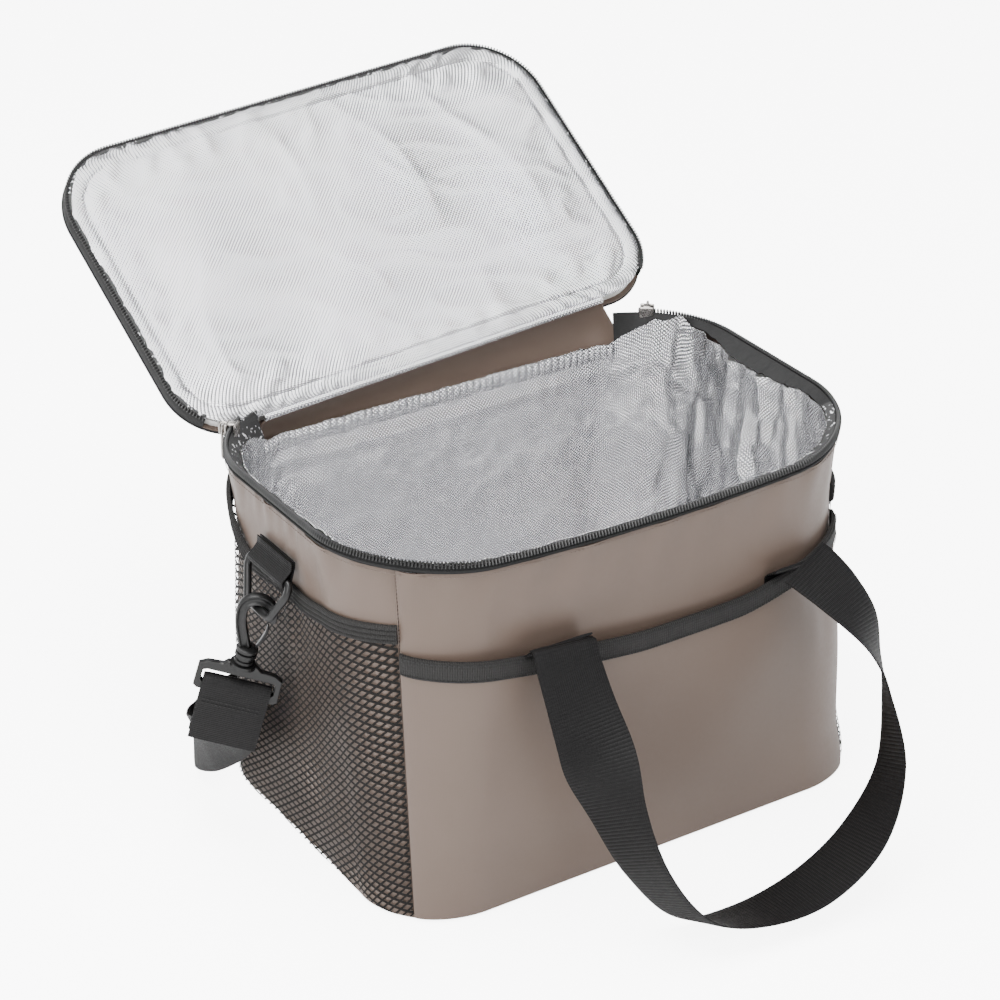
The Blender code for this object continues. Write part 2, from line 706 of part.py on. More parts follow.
def ring_foot():
    """Centre of the ring's bottom bar, where it hangs."""
    return Vector((RING_AXIS_X - RING_DROP * math.sin(RING_LEAN), 0.0,
                   RING_AXIS_Z - RING_DROP * math.cos(RING_LEAN)))


def ring_pivot(label):
    """The middle of the tab's fold, which the ring and the strap's end swing about."""
    return sided([Vector((RING_AXIS_X, 0.0, RING_AXIS_Z))], label)[0]


def make_ring(label):
    """Tapered loop that hangs from its tab."""
    down = Vector((-math.sin(RING_LEAN), 0.0, -math.cos(RING_LEAN)))
    top = Vector((RING_AXIS_X, 0.0, RING_AXIS_Z))
    shape = ((RING_TOP_HALF - 2 * MM, 0.0), (RING_TOP_HALF, 2 * MM), (RING_TOP_HALF, 6 * MM),
             (RING_FOOT_HALF + 1 * MM, RING_DROP - 2 * MM), (RING_FOOT_HALF - 1 * MM, RING_DROP))
    across = Vector((0.0, 1.0, 0.0))
    path = [top + across * y + down * drop for y, drop in shape]
    path += [top - across * y + down * drop for y, drop in reversed(shape)]
    normal = across.cross(down)
    name = "d_ring_" + label
    points = sided(path, label)
    ring = swept_bar(name, points, RING_BAR, black_plastic(name), sided([normal], label)[0],
                     closed=True)
    turns_about(ring, ring_pivot(label))


def hook_point(u, w, n=0.0):
    """From the hook's own axes, centred on its bight, to the bag's frame."""
    centre = ring_foot() - HOOK_UP * 2.2 * MM
    face = HOOK_ACROSS.cross(HOOK_UP)
    return centre + HOOK_ACROSS * u + HOOK_UP * w + face * n


def hook_prism(name, outline, low, high, label, look):
    """An outline in the hook's plane, given a thickness."""
    count = len(outline)
    points = [hook_point(u * MM, w * MM, low * MM) for u, w in outline]
    points += [hook_point(u * MM, w * MM, high * MM) for u, w in outline]
    faces = [tuple(range(count)), tuple(range(count, 2 * count))]
    faces += [(i, (i + 1) % count, count + (i + 1) % count, count + i) for i in range(count)]
    return make_object(name, sided(points, label), faces, look)


def hook_round(name, radius, low, high, label, look, sides=16):
    """A cylinder on the hook's swivel axis."""
    rings = [[hook_point(radius * math.cos(2 * math.pi * k / sides), w * MM,
                         radius * math.sin(2 * math.pi * k / sides)) for k in range(sides)]
             for w in (low, high)]
    return make_object(name, sided(rings[0] + rings[1], label), tube_faces(2, sides), look)


COLLAR_TOP, COLLAR_FOOT, BORE_TOP = -23.0, -32.0, -25.0
COLLAR_RADIUS, BORE_RADIUS, STEM_RADIUS = 6.2 * MM, 3.6 * MM, 3.3 * MM
GATE_PIVOT_U, GATE_PIVOT_W = 4.1, -21.3


def make_hook(label):
    """Snap hook: shank and bight, and the collar that turns on the strap base's stem."""
    name = "snap_hook_" + label
    look = black_plastic(name)
    plane = [(0.0, -24.0), (-3.0, -20.0), (-8.3, -10.0)]
    for k in range(9):
        turn = math.pi * (1.0 - k / 8)
        plane.append((8.3 * math.cos(turn), 8.3 * math.sin(turn)))
    plane.append((8.3, -5.0))
    path = sided([hook_point(u * MM, w * MM) for u, w in plane], label)
    normal = sided([HOOK_ACROSS.cross(HOOK_UP)], label)[0]
    hook = swept_bar(name, path, HOOK_BAR, look, normal)
    join_shapes(hook, hook_round(name + "_collar", COLLAR_RADIUS, COLLAR_FOOT, COLLAR_TOP,
                                 label, look), "UNION")
    join_shapes(hook, hook_round(name + "_bore", BORE_RADIUS, COLLAR_FOOT - 1.0, BORE_TOP,
                                 label, look), "DIFFERENCE")
    turns_about(hook, sided([hook_point(0.0, 0.0)], label)[0])


def make_gate(label):
    """Spring lever that closes the hook's mouth."""
    name = "hook_gate_" + label
    outline = ((3.0, -22.2), (5.2, -22.2), (6.6, -17.0), (7.6, -9.0), (7.6, -5.6),
               (5.6, -5.6), (5.4, -9.0), (4.4, -16.0))
    gate = hook_prism(name, outline, -2.0, 2.0, label, black_plastic(name))
    turns_about(gate, sided([hook_point(GATE_PIVOT_U * MM, GATE_PIVOT_W * MM)], label)[0])


def make_strap_base(label):
    """Flat frame that holds the webbing, with the stem the hook turns on."""
    name = "strap_base_" + label
    look = black_plastic(name)
    outline = ((-23.5, -52.0), (23.5, -52.0), (23.5, -38.0), (21.0, -35.0), (12.0, -34.0),
               (8.0, -32.4), (-8.0, -32.4), (-12.0, -34.0), (-21.0, -35.0), (-23.5, -38.0))
    frame = hook_prism(name, outline, -2.0, 2.0, label, look)
    slot = ((-20.2, -48.0), (20.2, -48.0), (20.2, -40.5), (-20.2, -40.5))
    join_shapes(frame, hook_prism(name + "_slot", slot, -4.0, 4.0, label, look), "DIFFERENCE")
    join_shapes(frame, hook_round(name + "_stem", STEM_RADIUS, -34.0, BORE_TOP - 0.4, label, look),
                "UNION")
    turns_about(frame, ring_pivot(label))


STRAP_END_LOW, STRAP_TURN_UP = -74.0, -44.8


def make_strap_end(label):
    """The strap's end: through the slot, over the bottom bar, and turned down in front."""
    rows = ((3.7, -82.0), (3.7, -66.0), (3.7, -52.0), (3.0, -46.6), (0.0, STRAP_TURN_UP),
            (-3.0, -46.6), (-3.7, -52.0), (-3.7, -62.0), (-3.7, STRAP_END_LOW))
    centres = sided([hook_point(0.0, w * MM, n * MM) for n, w in rows], label)
    across = sided([HOOK_ACROSS], label)[0]
    name = "strap_end_" + label
    end = ribbon(name, [(centre, across) for centre in centres], STRAP_WIDTH, STRAP_THICKNESS,
                 black_webbing(name), steps=1)
    turns_about(end, ring_pivot(label))


# The shoulder strap stands on edge on the floor behind the bag, folded back once.
STRAP_DROP = (
    (-195.5, 33.0, 52.0, (0.62, -0.50, -0.60)),
    (-190.0, 62.0, 29.0, (0.25, -0.20, -0.95)),
    (-177.0, 92.0, 20.0, (0.0, 0.0, -1.0)),
    (-158.0, 112.0, 19.6, (0.0, 0.0, -1.0)),
)
STRAP_FLOOR = (
    (-134, 121.0, 0), (-104, 122.0, 0), (-50, 121.6, 0), (0, 121.4, 0), (50, 121.6, 0),
    (70, 121.9, 0.8), (92, 124.0, 3.4), (121, 124.2, 3.4), (150, 123.6, 3.4), (168, 116.5, 1.5),
    (182, 102.0, 0), (190, 88.0, 2.0),
)
STRAP_RISE = (
    (194.5, 68.0, 27.0, (-0.10, -0.10, -0.99)),
    (195.5, 40.0, 47.0, (-0.55, -0.45, -0.70)),
)
FLOOR_ROW_HEIGHT = 19.6
ADJUSTER_X, ADJUSTER_Y = 121.0, 124.2


def make_shoulder_strap():
    hanging = [hook_point(0.0, (STRAP_END_LOW - drop) * MM, -3.7 * MM)
               for drop in (0.6, 4.0, 7.5, 11.0)]
    route = [(point, HOOK_ACROSS) for point in hanging]
    route += to_route(STRAP_DROP)
    route += to_route([(x, y, FLOOR_ROW_HEIGHT + lift, (0.0, 0.0, -1.0))
                       for x, y, lift in STRAP_FLOOR])
    route += to_route(STRAP_RISE)
    route += [(MIRROR @ point, MIRROR @ HOOK_ACROSS) for point in reversed(hanging)]
    ribbon("shoulder_strap", route, STRAP_WIDTH, STRAP_THICKNESS, black_webbing("shoulder_strap"),
           steps=2)


def make_adjuster():
    """Tri-glide: two outer bars in front of the webbing, one middle bar behind it."""
    name = "strap_adjuster"
    look = black_plastic(name)
    place = axis_empty("adjuster_axis", Matrix.Translation(
        Vector((ADJUSTER_X, ADJUSTER_Y, FLOOR_ROW_HEIGHT + 3.4)) * MM))
    half_long, rail_in, rail_out = 13.0 * MM, 19.6 * MM, 22.4 * MM
    body = box_shape(name, (-half_long, -3 * MM, rail_in), (half_long, 3 * MM, rail_out), look, place)
    pieces = (((-half_long, -3 * MM, -rail_out), (half_long, 3 * MM, -rail_in)),
              ((-half_long, 1.1 * MM, -rail_out), (-half_long + 4 * MM, 3 * MM, rail_out)),
              ((half_long - 4 * MM, 1.1 * MM, -rail_out), (half_long, 3 * MM, rail_out)),
              ((-2 * MM, -3 * MM, -rail_out), (2 * MM, -1.1 * MM, rail_out)))
    for count, (low, high) in enumerate(pieces):
        extra = box_shape(name + "_bar_" + str(count), low, high, look, place)
        join_shapes(body, extra, "UNION")


def make_strap_hardware():
    for label in ("left", "right"):
        make_tab(label)
        make_ring(label)
        make_hook(label)
        make_gate(label)
        make_strap_base(label)
        make_strap_end(label)
    make_shoulder_strap()
    make_adjuster()


clear_scene()
make_panels()
make_foam()
make_liner()
make_pockets()
make_body_zip()
make_hinge_strip()
make_lid()
make_slider("left")
make_slider("right")
make_handles()
make_anchors()
make_strap_hardware()
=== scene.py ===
"""Looks of the insulated bag: every soft and hard piece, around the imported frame.

Frame: +X along the long side, the front faces -Y, +Z up, metres.
"""

import json
import math

import bmesh
import bpy
import numpy as np
from mathutils import Matrix, Vector


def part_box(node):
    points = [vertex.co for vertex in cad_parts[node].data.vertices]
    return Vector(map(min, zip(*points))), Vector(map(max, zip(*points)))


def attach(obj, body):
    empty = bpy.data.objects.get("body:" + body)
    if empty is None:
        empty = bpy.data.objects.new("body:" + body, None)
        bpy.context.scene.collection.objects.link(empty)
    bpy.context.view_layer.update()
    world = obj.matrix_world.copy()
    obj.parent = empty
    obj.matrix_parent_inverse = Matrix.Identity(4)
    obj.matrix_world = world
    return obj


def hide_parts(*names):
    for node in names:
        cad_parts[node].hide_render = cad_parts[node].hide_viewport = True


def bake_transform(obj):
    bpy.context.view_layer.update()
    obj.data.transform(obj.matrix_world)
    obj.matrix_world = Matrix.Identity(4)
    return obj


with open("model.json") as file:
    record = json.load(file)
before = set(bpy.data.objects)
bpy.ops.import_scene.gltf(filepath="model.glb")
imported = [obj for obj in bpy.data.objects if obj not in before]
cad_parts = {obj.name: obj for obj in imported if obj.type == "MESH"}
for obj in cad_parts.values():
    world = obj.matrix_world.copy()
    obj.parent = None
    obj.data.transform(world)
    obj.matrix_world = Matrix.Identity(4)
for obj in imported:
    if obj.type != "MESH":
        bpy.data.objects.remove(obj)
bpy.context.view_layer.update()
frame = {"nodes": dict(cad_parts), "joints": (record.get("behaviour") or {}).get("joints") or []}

MM = 0.001
GAP = 0.3 * MM

# ---------------------------------------------------------------- sizes

BASE_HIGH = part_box("base_panel")[1]
TEETH_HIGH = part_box("body_zip_teeth")[1]
HEIGHT = 0.220
BASE_WIDTH, BASE_DEPTH, BASE_CORNER = 2 * BASE_HIGH.x, 2 * BASE_HIGH.y, 0.050
RIM_WIDTH, RIM_DEPTH, RIM_CORNER = 2 * TEETH_HIGH.x - 2 * MM, 0.216, 0.069
FRONT_BOW, FRONT_SAG = 8 * MM, 5 * MM

PANEL_TOP, BACK_PANEL_TOP, CLOTH_TOP = 0.2085, 0.1960, 0.2124
ZIP_TAPE_TOP, COIL_HEIGHT = 0.2172, 0.2183
COIL_PITCH = 1.9 * MM
CORNER_SHARE = 0.2
SIDE_RUN = 0.26
FRONT, RIGHT, BACK, LEFT = 0, 1, 2, 3
ZIP_PAST_CORNER = 0.045

# Outline of the closed lid, and the place it turns back to.
LID_WIDTH, LID_FRONT, LID_BACK = 0.3296, -0.108, 0.090
LID_SHIFT = 0.003
LID_FRONT_CORNER, LID_BACK_CORNER = 0.044, 0.038
LID_LINER_Z, LID_TOP_Z, HEM_WIDTH = 0.2252, 0.2325, 12.0 * MM
LID_JOINT = next(joint for joint in frame["joints"] if joint["name"] == "lid_hinge")
LID_AXIS_POINT = Vector(LID_JOINT["pos_m"])
LID_OPEN = math.radians(LID_JOINT["range_deg"][1])
LID_PLACE = (Matrix.Translation(LID_AXIS_POINT)
             @ Matrix.Rotation(-LID_OPEN, 4, Vector(LID_JOINT["axis"]))
             @ Matrix.Translation(-LID_AXIS_POINT))

HANDLE_WIDTH, STRAP_WIDTH = 0.040, 0.038


# ---------------------------------------------------------------- camera and light

def look_from(obj, place, target):
    obj.location = place
    obj.rotation_euler = (Vector(target) - Vector(place)).to_track_quat("-Z", "Y").to_euler()


def make_camera():
    lens = bpy.data.cameras.new("view")
    lens.lens = 107.8
    lens.clip_start, lens.clip_end = 0.05, 20.0
    camera = bpy.data.objects.new("view", lens)
    bpy.context.scene.collection.objects.link(camera)
    look_from(camera, (-0.8195, -1.2452, 0.9709), (0.0083, 0.0496, 0.1462))
    bpy.context.scene.camera = camera


def area_light(name, place, target, size, power):
    light = bpy.data.lights.new(name, "AREA")
    light.shape = "RECTANGLE"
    light.size, light.size_y = size
    light.energy = power
    obj = bpy.data.objects.new(name, light)
    bpy.context.scene.collection.objects.link(obj)
    look_from(obj, place, target)


def make_lights():
    """Three soft lamps, in a room of brighter and dimmer panels for the film to mirror."""
    area_light("overhead_softbox", (-0.25, 0.1, 1.9), (0.0, 0.0, 0.0), (1.9, 1.5), 78.0)
    area_light("left_softbox", (-1.7, -0.7, 1.0), (0.0, 0.0, 0.12), (1.1, 1.4), 36.0)
    area_light("front_softbox", (0.6, -2.0, 1.2), (0.0, 0.0, 0.12), (1.5, 0.9), 15.0)
    world = bpy.data.worlds.new("studio")
    world.use_nodes = True
    tree = world.node_tree
    heading = add_node(tree, "ShaderNodeTexCoord").outputs["Generated"]
    rise = add_node(tree, "ShaderNodeSeparateXYZ", i0=heading).outputs[2]
    panels = add_node(tree, "ShaderNodeTexNoise", i0=heading)
    panels.inputs["Scale"].default_value = 2.3
    panels.inputs["Detail"].default_value = 0.0
    lit = add_node(tree, "ShaderNodeMapRange", i0=panels.outputs[0], i1=0.46, i2=0.54).outputs[0]
    low = mixed(tree, lit, (0.02, 0.02, 0.022, 1.0), (0.55, 0.55, 0.56, 1.0))
    high = mixed(tree, lit, (0.12, 0.12, 0.125, 1.0), (1.5, 1.5, 1.5, 1.0))
    sky = mixed(tree, between(tree, rise, 0.0, 1.0), low, high)
    tree.links.new(sky, tree.nodes["Background"].inputs["Color"])
    tree.nodes["Background"].inputs["Strength"].default_value = 1.6
    bpy.context.scene.world = world


# ---------------------------------------------------------------- node helpers

def add_node(tree, kind, **values):
    """A node; values are its settings, or its inputs by index as i0, i1 and so on."""
    made = tree.nodes.new(kind)
    for key, value in values.items():
        if key[0] == "i" and key[1:].isdigit():
            feed(tree, made.inputs[int(key[1:])], value)
        else:
            setattr(made, key, value)
    return made


def feed(tree, socket, value):
    if isinstance(value, bpy.types.NodeSocket):
        tree.links.new(value, socket)
    else:
        socket.default_value = value


def calc(tree, operation, a, b=0.0):
    return add_node(tree, "ShaderNodeMath", operation=operation, i0=a, i1=b).outputs[0]


def mixed(tree, share, a, b):
    made = tree.nodes.new("ShaderNodeMix")
    made.data_type = "RGBA"
    feed(tree, made.inputs[0], share)
    feed(tree, made.inputs[6], a)
    feed(tree, made.inputs[7], b)
    return made.outputs[2]


def between(tree, value, low, high):
    """Value from 0..1 to low..high."""
    return add_node(tree, "ShaderNodeMapRange", i0=value, i3=low, i4=high).outputs[0]


def cloth_axes(tree):
    """Distances along and across a piece of cloth, in metres."""
    place = add_node(tree, "ShaderNodeTexCoord").outputs["UV"]
    split = add_node(tree, "ShaderNodeSeparateXYZ", i0=place)
    return split.outputs[0], split.outputs[1]


def new_group(name, inputs, outputs):
    group = bpy.data.node_groups.new(name, "ShaderNodeTree")
    for label, default in inputs:
        socket = group.interface.new_socket(name=label, in_out="INPUT", socket_type="NodeSocketFloat")
        socket.default_value = default
    for label in outputs:
        group.interface.new_socket(name=label, in_out="OUTPUT", socket_type="NodeSocketFloat")
    return group, group.nodes.new("NodeGroupInput"), group.nodes.new("NodeGroupOutput")


def half_wave(tree, distance, pitch):
    """Row of rounded ridges: the size of the sine, one ridge to each pitch."""
    turns = calc(tree, "MULTIPLY", calc(tree, "DIVIDE", distance, pitch), math.pi)
    return calc(tree, "ABSOLUTE", calc(tree, "SINE", turns))


def build_weave():
    """Ribs across the cloth, each broken into yarns."""
    group, put_in, put_out = new_group("weave", (("Rib Pitch", 0.002), ("Yarn Pitch", 0.0008)),
                                       ("Height",))
    along, across = cloth_axes(group)
    rib = half_wave(group, along, put_in.outputs[0])
    yarn = half_wave(group, across, put_in.outputs[1])
    height = calc(group, "MULTIPLY", rib, between(group, yarn, 0.55, 1.0))
    group.links.new(height, put_out.inputs[0])
    return group


def build_net():
    """Diamond net: 1 on a thread, 0 in a hole."""
    group, put_in, put_out = new_group("net", (("Width", 0.0035), ("Height", 0.0030),
                                               ("Thread", 0.2)), ("Thread",))
    along, across = cloth_axes(group)
    u = calc(group, "DIVIDE", along, put_in.outputs[0])
    v = calc(group, "DIVIDE", across, put_in.outputs[1])
    lines = []
    for lean in (-1.0, 0.16):
        phase = calc(group, "FRACT", calc(group, "ADD", calc(group, "MULTIPLY", u, lean), v))
        lines.append(calc(group, "ABSOLUTE", calc(group, "SUBTRACT", phase, 0.5)))
    nearest = calc(group, "MAXIMUM", lines[0], lines[1])
    edge = calc(group, "SUBTRACT", 0.5, put_in.outputs[2])
    group.links.new(calc(group, "GREATER_THAN", nearest, edge), put_out.inputs[0])
    return group


def build_emboss():
    """Small diamonds pressed into foil."""
    group, put_in, put_out = new_group("emboss", (("Pitch", 0.002),), ("Height",))
    along, across = cloth_axes(group)
    a = half_wave(group, calc(group, "ADD", along, across), put_in.outputs[0])
    b = half_wave(group, calc(group, "SUBTRACT", along, across), put_in.outputs[0])
    group.links.new(calc(group, "MULTIPLY", a, b), put_out.inputs[0])
    return group


def build_mottle():
    """Uneven tone: broad clouds with finer specks on them."""
    group, put_in, put_out = new_group("mottle", (("Cloud Scale", 12.0), ("Speck Scale", 300.0)),
                                       ("Cloud", "Speck"))
    place = add_node(group, "ShaderNodeTexCoord").outputs["Object"]
    for index in (0, 1):
        noise = add_node(group, "ShaderNodeTexNoise")
        noise.inputs["Detail"].default_value = 3.0
        group.links.new(place, noise.inputs["Vector"])
        group.links.new(put_in.outputs[index], noise.inputs["Scale"])
        group.links.new(noise.outputs[0], put_out.inputs[index])
    return group


WEAVE, NET, EMBOSS, MOTTLE = build_weave(), build_net(), build_emboss(), build_mottle()


def use_group(tree, group, *values):
    made = tree.nodes.new("ShaderNodeGroup")
    made.node_tree = group
    for socket, value in zip(made.inputs, values):
        socket.default_value = value
    return made.outputs


def start_material(name, roughness, metallic=0.0):
    made = bpy.data.materials.new(name)
    made.use_nodes = True
    tree = made.node_tree
    shader = tree.nodes["Principled BSDF"]
    shader.inputs["Roughness"].default_value = roughness
    shader.inputs["Metallic"].default_value = metallic
    return made, tree, shader


def bump(tree, shader, height, distance, strength=1.0):
    made = add_node(tree, "ShaderNodeBump")
    made.inputs["Strength"].default_value = strength
    made.inputs["Distance"].default_value = distance
    tree.links.new(height, made.inputs["Height"])
    tree.links.new(made.outputs[0], shader.inputs["Normal"])


def cloth_material(name, dark, light, roughness, rib, yarn, depth, sheen=0.0, gloss=0.5):
    """Woven cloth: ribs and yarns in relief, with painted shade between them and a slight painted highlight
    on their tops, uneven in tone.
    """
    made, tree, shader = start_material(name, roughness)
    tone = use_group(tree, MOTTLE, 14.0, 420.0)
    height = use_group(tree, WEAVE, rib, yarn)[0]
    broad = mixed(tree, tone[0], dark, light)
    # Painted shade in the furrows between ribs and yarns, deeper for deeper relief, and a slight painted
    # highlight on the rib tops.
    painted_furrow_shade = between(tree, height, 1.0 - 0.3 * min(1.0, depth / (0.1 * MM)), 1.05)
    shade = add_node(tree, "ShaderNodeHueSaturation")
    tree.links.new(broad, shade.inputs["Color"])
    tree.links.new(painted_furrow_shade, shade.inputs["Value"])
    tree.links.new(shade.outputs[0], shader.inputs["Base Color"])
    rough = between(tree, tone[1], roughness - 0.08, roughness + 0.08)
    tree.links.new(rough, shader.inputs["Roughness"])
    shader.inputs["Specular IOR Level"].default_value = gloss
    shader.inputs["Sheen Weight"].default_value = sheen
    shader.inputs["Sheen Roughness"].default_value = 0.45
    bump(tree, shader, height, depth)
    return made


def foil_material():
    """Metallised film pressed with small diamonds, with painted shade in the grooves between them."""
    made, tree, shader = start_material("foil_film", 0.24, 1.0)
    tone = use_group(tree, MOTTLE, 25.0, 600.0)
    height = use_group(tree, EMBOSS, 2.3 * MM)[0]
    # Painted shade: the film's colour is darker in the grooves between the pressed diamonds.
    face = mixed(tree, height, (0.42, 0.42, 0.44, 1.0), (0.97, 0.97, 0.97, 1.0))
    tree.links.new(face, shader.inputs["Base Color"])
    tree.links.new(between(tree, tone[0], 0.06, 0.17), shader.inputs["Roughness"])
    bump(tree, shader, height, 0.30 * MM)
    return made


def net_material():
    """Black knitted net; its holes let the cloth behind show."""
    made, tree, shader = start_material("pocket_net", 0.75)
    tone = use_group(tree, MOTTLE, 30.0, 500.0)
    thread = use_group(tree, NET, 5.0 * MM, 5.0 * MM, 0.16)[0]
    dark = mixed(tree, tone[1], (0.004, 0.0036, 0.0034, 1.0), (0.012, 0.011, 0.010, 1.0))
    tree.links.new(dark, shader.inputs["Base Color"])
    tree.links.new(thread, shader.inputs["Alpha"])
    shader.inputs["Specular IOR Level"].default_value = 0.12
    bump(tree, shader, thread, 0.15 * MM)
    return made


def plastic_material(name, tone_low, tone_high, roughness):
    """Moulded plastic with a faint grain and uneven gloss."""
    made, tree, shader = start_material(name, roughness)
    tone = use_group(tree, MOTTLE, 60.0, 900.0)
    grey = mixed(tree, tone[0], (tone_low,) * 3 + (1.0,), (tone_high,) * 3 + (1.0,))
    tree.links.new(grey, shader.inputs["Base Color"])
    tree.links.new(between(tree, tone[0], roughness - 0.07, roughness + 0.07),
                   shader.inputs["Roughness"])
    shader.inputs["Specular IOR Level"].default_value = 0.35
    bump(tree, shader, tone[1], 0.03 * MM)
    return made


def nickel_material():
    """Bright plated metal, rubbed unevenly."""
    made, tree, shader = start_material("nickel_plate", 0.25, 1.0)
    tone = use_group(tree, MOTTLE, 90.0, 1500.0)
    tint = mixed(tree, tone[0], (0.26, 0.24, 0.22, 1.0), (0.46, 0.44, 0.42, 1.0))
    tree.links.new(tint, shader.inputs["Base Color"])
    tree.links.new(between(tree, tone[1], 0.18, 0.38), shader.inputs["Roughness"])
    bump(tree, shader, tone[0], 0.05 * MM)
    return made


def flecked_tape_material():
    """Black zip tape with scraps of foil caught along it."""
    made, tree, shader = start_material("flecked_tape", 0.6)
    tone = use_group(tree, MOTTLE, 420.0, 900.0)
    height = use_group(tree, WEAVE, 0.9 * MM, 0.7 * MM)[0]
    fleck = calc(tree, "GREATER_THAN", tone[0], 0.63)
    tint = mixed(tree, fleck, (0.012, 0.012, 0.012, 1.0), (0.80, 0.80, 0.82, 1.0))
    tree.links.new(tint, shader.inputs["Base Color"])
    tree.links.new(fleck, shader.inputs["Metallic"])
    bump(tree, shader, height, 0.1 * MM)
    return made


def floor_material():
    """Matt white, and lit from itself only where the camera sees it."""
    made, tree, shader = start_material("studio_floor", 0.9)
    tone = use_group(tree, MOTTLE, 2.0, 50.0)
    white = mixed(tree, tone[0], (0.90, 0.90, 0.90, 1.0), (0.92, 0.92, 0.92, 1.0))
    tree.links.new(white, shader.inputs["Base Color"])
    seen = add_node(tree, "ShaderNodeLightPath").outputs["Is Camera Ray"]
    tree.links.new(mixed(tree, seen, (0.0, 0.0, 0.0, 1.0), white), shader.inputs["Emission Color"])
    shader.inputs["Emission Strength"].default_value = 7.0
    return made


TAUPE_DARK, TAUPE_LIGHT = (0.092, 0.064, 0.049, 1.0), (0.108, 0.077, 0.060, 1.0)
BLACK_DARK, BLACK_LIGHT = (0.0030, 0.0028, 0.0029, 1.0), (0.0055, 0.0051, 0.0052, 1.0)
TAUPE = cloth_material("taupe_cloth", TAUPE_DARK, TAUPE_LIGHT, 0.46, 0.8 * MM, 0.8 * MM, 0.003 * MM,
                       0.05, 0.42)
WEBBING = cloth_material("handle_webbing", BLACK_DARK, BLACK_LIGHT, 0.58, 2.1 * MM, 1.3 * MM, 0.35 * MM,
                         0.0, 0.16)
STRAP_WEB = cloth_material("strap_webbing", BLACK_DARK, BLACK_LIGHT, 0.58, 1.2 * MM, 1.6 * MM, 0.2 * MM,
                           0.0, 0.2)
BINDING = cloth_material("grosgrain", (0.010, 0.0095, 0.0095, 1.0), (0.020, 0.019, 0.018, 1.0),
                         0.66, 1.3 * MM, 1.6 * MM, 0.35 * MM, 0.0, 0.25)
TAPE_CLOTH = cloth_material("zip_tape", (0.007, 0.007, 0.007, 1.0), (0.012, 0.012, 0.012, 1.0),
                            0.6, 0.8 * MM, 0.8 * MM, 0.1 * MM, 0.0, 0.2)
THREAD = cloth_material("thread", (0.014, 0.014, 0.014, 1.0), (0.026, 0.026, 0.026, 1.0),
                        0.7, 0.4 * MM, 0.4 * MM, 0.03 * MM, 0.0, 0.2)
FOAM = cloth_material("white_foam", (0.74, 0.74, 0.72, 1.0), (0.82, 0.82, 0.80, 1.0),
                      0.85, 1.1 * MM, 1.1 * MM, 0.05 * MM)
FOIL = foil_material()
NET_CLOTH = net_material()
PLASTIC = plastic_material("black_acetal", 0.003, 0.006, 0.36)
TEETH = plastic_material("coil_plastic", 0.022, 0.040, 0.24)
NICKEL = nickel_material()
FLECKED = flecked_tape_material()
FLOOR = floor_material()


# ---------------------------------------------------------------- mesh helpers

def lerp(low, high, share):
    return low + (high - low) * share


def smooth(value):
    value = np.clip(value, 0.0, 1.0)
    return value * value * (3.0 - 2.0 * value)


def ripple(u, v, length, seed, count=6):
    """Smooth unevenness from -1 to 1: a few waves of about this length, any way round."""
    draw = np.random.default_rng(seed)
    total = np.zeros(np.broadcast(u, v).shape)
    for _ in range(count):
        heading = draw.uniform(0.0, math.tau)
        turns = math.tau / (length * draw.uniform(0.65, 1.6))
        total += np.sin((u * math.cos(heading) + v * math.sin(heading)) * turns
                        + draw.uniform(0.0, math.tau))
    return total / (count * 0.6)


def crease(u, v, length, seed):
    """Sharp ridges where the ripple crosses zero, from 0 to 1."""
    return 1.0 - np.clip(np.abs(ripple(u, v, length, seed)) * 1.7, 0.0, 1.0)


def unit(vectors):
    return vectors / np.maximum(np.linalg.norm(vectors, axis=-1, keepdims=True), 1e-12)


def make_piece(name, points, faces, look, body=None, uv=None, smooth_angle=40.0):
    mesh = bpy.data.meshes.new(name)
    mesh.from_pydata([tuple(p) for p in np.asarray(points).reshape(-1, 3)], [], faces)
    if uv is not None:
        layer = mesh.uv_layers.new(name="cloth")
        flat = np.asarray(uv, dtype=np.float32).reshape(-1, 2)
        layer.data.foreach_set("uv", flat.ravel())
    mesh.materials.append(look)
    mesh.shade_smooth()
    mesh.set_sharp_from_angle(angle=math.radians(smooth_angle))
    obj = bpy.data.objects.new(name, mesh)
    bpy.context.scene.collection.objects.link(obj)
    if body:
        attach(obj, body)
    return obj


def running_length(path):
    """Distance along a path to each of its points."""
    steps = np.linalg.norm(np.diff(path, axis=0), axis=1)
    return np.concatenate([[0.0], np.cumsum(steps)])


def at_spots(path, run, spots):
    """Every column of a path, read at distances along it."""
    return np.stack([np.interp(spots, run, path[:, k]) for k in range(path.shape[1])], axis=1)


def lengths(points, axis):
    """Running distance along one way of a grid, averaged over the other."""
    steps = np.linalg.norm(np.diff(points, axis=axis), axis=-1)
    mean = steps.mean(axis=1 - axis)
    return np.concatenate([[0.0], np.cumsum(mean)])


def grid_normals(points, wrap):
    if wrap:
        du = np.roll(points, -1, axis=0) - np.roll(points, 1, axis=0)
    else:
        du = np.gradient(points, axis=0)
    dv = np.gradient(points, axis=1)
    return unit(np.cross(du, dv))


